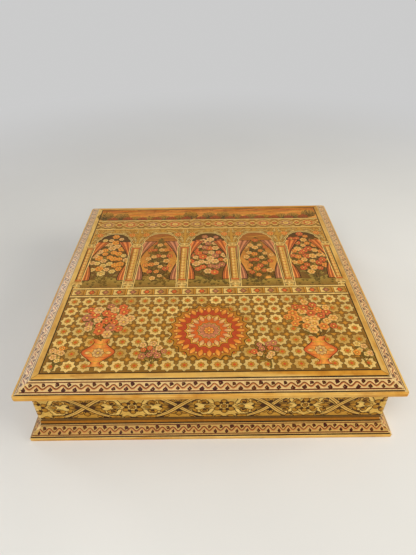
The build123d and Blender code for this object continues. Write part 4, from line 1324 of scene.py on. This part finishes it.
def curtain(sheet, bay, x, way):
    # hangs from a rod at t = 1 to a tail at t = 0, and reaches out from the column by
    # least + top * upper^1.6 + tail * sin(1.7 * lower), where upper and lower run from 0 at the tie to 1
    style, spring = curtainStyle, archStyle["spring"]
    foot = zones["arcade"][0] + style["low"]
    t, v = np.linspace(0, 1, 30), np.linspace(0, 1, 13)
    upper = np.clip((t - style["tie"]) / (1 - style["tie"]), 0, 1)
    lower = np.clip(1 - t / style["tie"], 0, 1)
    reach = style["least"] + style["top"] * upper ** 1.6 + style["tail"] * np.sin(lower * 1.7)
    y = foot + (spring + 12 - foot) * t
    outer = x + way * (archStyle["half"] + 1.0)
    fold = (0.5 + 0.5 * np.cos(v * style["folds"] * 2 * np.pi))[:, None]
    dark, pale = ("curtain", "curtainFold") if bay % 2 == 0 else ("drape", "drapeFold")
    grid = at(outer - way * reach[:, None] * v, y[:, None])
    tone = linear(garden[dark]) * (1 - fold) + linear(garden[pale]) * fold
    if way < 0:
        grid, tone = grid[:, ::-1], tone[::-1]
    layGrid(sheet, 16, grid[None], tone[None])
    for share, thick, colour in ((0.17, 0.5, "brown"), (0.5, 0.5, "brown"), (0.83, 0.5, "brown"),
                                 (1.0, 1.0, "ink")):
        ribbon(sheet, 17, at(outer - way * reach * share, y), thick, colour)
    for end in (0, -1):
        ribbon(sheet, 17, at(outer - way * reach[end] * v, y[end] + 0.3 * np.cos(v * 6 * np.pi)), 0.9, "ink")
    knot = [outer - way * 2.0, foot + (spring - zones["arcade"][0]) * style["tie"]]
    discs(sheet, 18, [knot], 3.0, "cream", "gold", spokes=12)
    leaves(sheet, 18, [knot] * 2, np.array([-1.35, -1.8]), 7.0, 2.0, "gold", "cream")


def archWall(sheet, bay, x, way):
    # the cusped rim: x = half * cos(a)^0.8 and y = spring + rise * sin(a), pulled in at each cusp; the wall
    # above it is laid in rows from the rim to the bay's edge
    style, (y0, y1) = archStyle, zones["arcade"]
    a = np.linspace(0, np.pi / 2, style["points"])
    pull = 1 - style["depth"] * (1 - np.abs(np.sin(style["cusps"] * a)))
    rim = at(style["half"] * np.cos(a) ** 0.8 * pull,
             style["spring"] + style["rise"] * np.sin(a) * (1 - 0.35 * style["depth"] * (1 - pull)))
    rows = np.stack([at(bayWide / 2, rim[:, 1]), rim], 1)
    rows = np.concatenate([rows, [[[bayWide / 2, y1], [0.0, y1]]]])
    placed = rows[::-1, ::-way] * [way, 1] + [x, 0]
    layGrid(sheet, 19, placed[None], perStroke(sheet, "plaster", 1))
    path = np.concatenate([[[style["half"], y0]], rim]) * [way, 1]
    ribbon(sheet, 21, path + [x, 0], 2.6, "cream")
    ribbon(sheet, 22, path + [x, 0], 0.75, "ink")
    ribbon(sheet, 22, path * [1.055, 1.0] + [x, 1.6], 0.5, "brown")
    # the spandrel: one rosette, leaves, stems and a ground of fine dots, mirrored on each side of every arch
    blossoms(sheet, 23, [[x + way * rosettePlace[0], rosettePlace[1]]], 4.2, 8, "coral", "orangeLight")
    out, up, angle, long, wide = np.array(spandrelLeaves).T
    leaves(sheet, 23, at(x + way * out, up), angle * way + facing(0.0, way), long, wide, "olive", "cream",
           bend=0.06 * way)
    rng = np.random.default_rng(90 + bay * 2 + (way > 0))
    u, v = rng.uniform(2, 25.5, style["dots"]), rng.uniform(52, 85, style["dots"])
    clear = (v > np.interp(u, rim[::-1, 0], rim[::-1, 1]) + 2.4) | (u > style["half"] + 2.2)
    clear &= np.hypot(u - rosettePlace[0], v - rosettePlace[1]) > 5
    discs(sheet, 20, at(x + way * u, v)[clear], 0.42, "brown", "brown", None, rings=1, spokes=6)
    for stem in spandrelStems:
        curve = bezier(*np.array(stem, float)[:, None], 16) * [way, 1] + [x, 0]
        ribbon(sheet, 21, curve, 1.3, "ink")
        ribbon(sheet, 22, curve, 0.7, "cream")


columnStyle = {"inset": 2.4, "endShaft": 4.8, "shaft": 6.4, "marks": 5.2, "leaf": (8.6, 4.2)}


def columns(sheet):
    # a shaft of three tones with marks up it, a leafed capital and a bulbous base
    style, y0, spring = columnStyle, zones["arcade"][0], archStyle["spring"]
    post = np.arange(bays + 1) * bayWide - pictureWide
    post[0] += style["inset"]
    post[-1] -= style["inset"]
    shaft = np.where((np.arange(bays + 1) % bays == 0), style["endShaft"], style["shaft"])
    high = spring + 4 - y0
    for coat, wide, colour, side in ((22, shaft + 1.0, "ink", None), (23, shaft, "goldDeep", "creamDeep"),
                                     (24, shaft * 0.5, "cream", "gold")):
        tiles(sheet, coat, at(post, y0 + high / 2), wide, high, colour, side)
    levels = np.arange(y0 + 14, spring - 6, style["marks"])
    mark = np.stack([q.ravel() for q in np.meshgrid(post, levels)], -1)
    for tilt in (0.9, -0.9):
        leaves(sheet, 25, mark, np.pi / 2 + tilt, 2.6, 1.0, "coral", "red", None, rows=4)
    for level, up in ((spring + 2.0, 1), (y0 + 8.0, -1)):
        foot, head = at(post, level - up * 4.0), at(post, level + up * 4.6)
        for tilt in (0.62, -0.62, 0.0):
            leaves(sheet, 25, foot, up * np.pi / 2 + tilt, *style["leaf"], "goldDeep", "cream")
        for coat, spot, more, thick, colour in ((26, head, 3.4, 2.2, "ink"), (27, head, 2.6, 1.4, "cream"),
                                                (27, foot, 1.6, 1.6, "coral")):
            tiles(sheet, coat, spot, shaft + more, thick, colour)


def arcade():
    ground, drapery, walls = [canvas("picture_" + name) for name in ("garden", "curtains", "arcade")]
    for bay in range(bays):
        x = (bay + 0.5) * bayWide - pictureWide
        gardenBay(ground, bay, x)
        for way in (1, -1):
            curtain(drapery, bay, x, way)
            archWall(walls, bay, x, way)
        print("bay", bay + 1, "of the arcade is painted")
    columns(walls)
    for sheet in (ground, drapery, walls):
        hang(sheet["paint"], "lid")


def aboveArcade():
    sheet = canvas("picture_frieze")
    sky(sheet)
    frieze(sheet)
    outline(sheet)
    hang(sheet["paint"], "lid")


terrace()
vases()
railing()
arcade()
aboveArcade()


def standIn(name, points, faces, material, node, body):
    # a smooth mesh, given in millimetres, that stands for a node of the frame
    mesh = bpy.data.meshes.new(name)
    mesh.from_pydata((points * mm).tolist(), [], faces)
    mesh.polygons.foreach_set("use_smooth", np.ones(len(faces), bool))
    mesh.update()
    mesh.materials.append(material)
    piece = added(name, mesh)
    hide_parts(node)
    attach(piece, body)
    return piece


# edge strips, their corners rubbed round by handling; corner radii are given from the front left one round
rubbed = {"lid": {"corners": (3.2, 2.6, 4.8, 4.6), "upper": 1.0, "lower": 0.5},
          "plinth": {"corners": (0.9, 1.1, 0.9, 0.9), "upper": 0.12, "lower": 0.5},
          "wave": 0.1, "seam": 0.1, "nearly": 0.03, "ends": 8, "calm": 6, "easing": 20, "arc": 9, "bend": 6,
          "stations": 24, "sharp": 0.6}


def quarterArc(centre, radius, start):
    # centre + radius * (cos a, sin a) over a quarter turn, run backwards
    return (centre + radius * pointing(np.radians(np.linspace(start, start + 90, rubbed["bend"]))))[::-1]


def seamsOf(node, along):
    # where a strip is cut: neighbouring points a seam's width apart, away from the strip's ends
    cut = np.empty(len(nodes[node].data.vertices) * 3)
    nodes[node].data.vertices.foreach_get("co", cut)
    s = np.unique(np.round(cut.reshape(-1, 3) @ along / mm, 2))
    here = (np.abs(np.diff(s) - rubbed["seam"]) < rubbed["nearly"]) & (np.abs(s[1:]) < s.max()
                                                                       - rubbed["ends"])
    return (s[1:][here] + s[:-1][here]) / 2


def rubbedStrip(place, quarter, body):
    # the strip's section carried along its side: d inside the face, a point keeps a corner radius
    # R = radius * (1 - d / thickness), and round the corner lies at reach - d - R + R * (sin a, cos a)
    style, side = rubbed[place], quarters[quarter]
    node = f"{place}_edge_facing_{side}"
    low, high = span(node)
    out, along = turned((0, -1, 0), quarter), turned((1, 0, 0), quarter)
    reach, inner = np.max(np.stack([low, high]) @ out), np.min(np.stack([low, high]) @ out)
    thick, tall = reach - inner, high[2] - low[2]
    lower, upper = style["lower"], style["upper"]
    section = np.concatenate([[[thick, 0.0]], [[lower * 2, 0.0]], quarterArc((lower, lower), lower, 180),
                              [[0.0, tall / 2]], quarterArc((upper, tall - upper), upper, 90),
                              [[thick, tall]]])
    d, z = section.T
    bow = 1 - d / thick
    ends = [-reach, *seamsOf(node, along), reach]
    points, faces = [], []
    for start, end in zip(ends[:-1], ends[1:]):
        rows = []
        for limit, way, corner in ((start, -1, quarter), (end, 1, (quarter + 1) % 4)):
            if abs(limit) < reach:
                rows.append(at(limit - way * rubbed["seam"] / 2, reach - d)[None])
            else:
                a = np.linspace(0, np.pi / 4, rubbed["arc"])[:, None]
                radius = np.maximum(style["corners"][corner] * bow, 0.06)
                around = at(way * (reach - d - radius + radius * np.sin(a)),
                            reach - d - radius + radius * np.cos(a))
                rows.append(around[::way])
        # between the two ends lie evenly spaced stations
        share = np.linspace(0, 1, rubbed["stations"])[1:-1, None, None]
        grid = np.concatenate([rows[0], rows[0][-1] * (1 - share) + rows[1][0] * share, rows[1]])
        s, o = grid[..., 0], grid[..., 1]
        free = np.clip((reach - rubbed["calm"] - np.abs(s)) / rubbed["easing"], 0, 1)
        worn = rubbed["wave"] * free * (0.5 + 0.5 * np.clip(drift(s, quarter + len(place), 1.0), -1, 1))
        level = z + 0.8 * worn * bow * (1 - 2 * z / tall)
        shape = s[..., None] * along + (o - worn * bow)[..., None] * out
        shape[..., 2] += level
        shape[..., 2] += low[2]
        rings, count = s.shape
        ring, k = np.mgrid[0:rings - 1, 0:count] * np.array([count, 1])[:, None, None]
        after = (k + 1) % count
        quads = np.stack([ring + k, ring + count + k, ring + count + after, ring + after], -1)
        base = sum(len(q) for q in points)
        last = base + (rings - 1) * count
        faces += (quads.reshape(-1, 4) + base).tolist()
        faces += [list(range(base, base + count)), list(range(last, last + count))[::-1]]
        points.append(shape.reshape(-1, 3))
    piece = standIn(f"{place}_edge_rubbed_{side}", np.concatenate(points), faces, plainAmber[quarter % 2],
                    node, body)
    piece.data.set_sharp_from_angle(angle=rubbed["sharp"])


# the linings: card covered with velvet, crowned and rounded at its edges, and the cloth under the base
padShape = {"edge": 0.6, "crown": 0.14, "pull": 0.08, "crease": 0.06, "ripple": 3.1, "fades": (5, 14),
            "steps": 46, "inset": 2.2}
clothShape = {"thick": 0.7, "wave": 0.04, "steps": 60, "trim": 0.2, "ragged": 0.12, "sunk": 0.4}


def liningPad(node, axis, way, body, seed):
    # height = thickness * sqrt(1 - (1 - d / edge)^2) within the rounded edge, where d is the distance to the
    # nearest side; the middle stands a crown higher, and each side is pulled in a little between its corners
    pad = padShape
    low, high = span(node)
    flat = [i for i in range(3) if i != axis]
    half, middle = (high - low)[flat] / 2, ((high + low) / 2)[flat]
    near = pad["edge"] * (1 - np.cos(np.linspace(0, np.pi / 2, 6)))
    marks = [np.concatenate([near, np.linspace(pad["inset"], 2 * h - pad["inset"], pad["steps"]),
                             2 * h - near[::-1]]) - h for h in half]
    u, v = np.meshgrid(*marks, indexing="ij")
    besideU, besideV = half[0] - np.abs(u), half[1] - np.abs(v)
    apart = np.minimum(besideU, besideV)
    rounded = np.sqrt(1 - (1 - np.clip(apart / pad["edge"], 0, 1)) ** 2)
    bulgeU, bulgeV = 1 - (u / half[0]) ** 2, 1 - (v / half[1]) ** 2
    inwards, fromCorner = pad["fades"]
    crease = np.exp(-apart / inwards) * np.sin((u + v) / pad["ripple"] + seed)
    crease *= np.exp(-np.hypot(besideU, besideV) / fromCorner)
    sunk = pad["crown"] * (1 - bulgeU * bulgeV)
    height = rounded * ((high - low)[axis] - sunk - pad["crease"] * (1 + crease) / 2)
    sheets = []
    for level in (height, np.zeros_like(height)):
        points = np.zeros((*u.shape, 3))
        points[..., flat[0]] = u * (1 - pad["pull"] / half[0] * bulgeV) + middle[0]
        points[..., flat[1]] = v * (1 - pad["pull"] / half[1] * bulgeU) + middle[1]
        points[..., axis] = (low if way > 0 else high)[axis] + way * level
        sheets.append(points.reshape(-1, 3))
    quads = quadsOf(*u.shape)
    outwards = (1 if axis != 1 else -1) * way > 0
    front, rear = (quads, quads[:, ::-1]) if outwards else (quads[:, ::-1], quads)
    faces = np.concatenate([front, rear + u.size])
    points, same = np.unique(np.round(np.concatenate(sheets), 5), axis=0, return_inverse=True)
    piece = standIn(node + "_velvet", points, same.ravel()[faces].tolist(), velvet, node, body)


def baseCloth():
    # one sheet glued under the base: height = wave * sin(9 * u + 1) * cos(7 * v), with an uneven cut edge
    cloth = clothShape
    low, high = span("base_cloth")
    half = (high[0] - low[0]) / 2
    s = np.linspace(-1, 1, cloth["steps"])
    u, v = np.meshgrid(s, s, indexing="ij")
    uneven = cloth["ragged"] * ((np.abs(u) == 1) * np.sin(v * 71) + (np.abs(v) == 1) * np.sin(u * 67))
    wide = half - cloth["trim"] - np.abs(uneven)
    z = high[2] - cloth["sunk"] + cloth["wave"] * np.sin(u * 9 + 1) * np.cos(v * 7)
    piece = standIn("base_baize", np.stack([u * wide, v * wide, z], -1).reshape(-1, 3),
                    quadsOf(*u.shape).tolist(), baize, "base_cloth", "box_body")
    solid = piece.modifiers.new("thickness", "SOLIDIFY")
    solid.thickness = cloth["thick"] * mm
    solid.offset = 0.0


for quarter in range(4):
    rubbedStrip("lid", quarter, "lid")
    rubbedStrip("plinth", quarter, "box_body")
print("edge strips are made")
liningPad("floor_lining", 2, 1, "box_body", 1)
liningPad("lid_lining", 2, -1, "lid", 2)
for turn, (axis, way) in enumerate(((1, 1), (0, -1), (1, -1), (0, 1))):
    liningPad(f"wall_lining_{quarters[turn]}", axis, way, "box_body", 3 + turn)
baseCloth()
print("linings and base cloth are made")
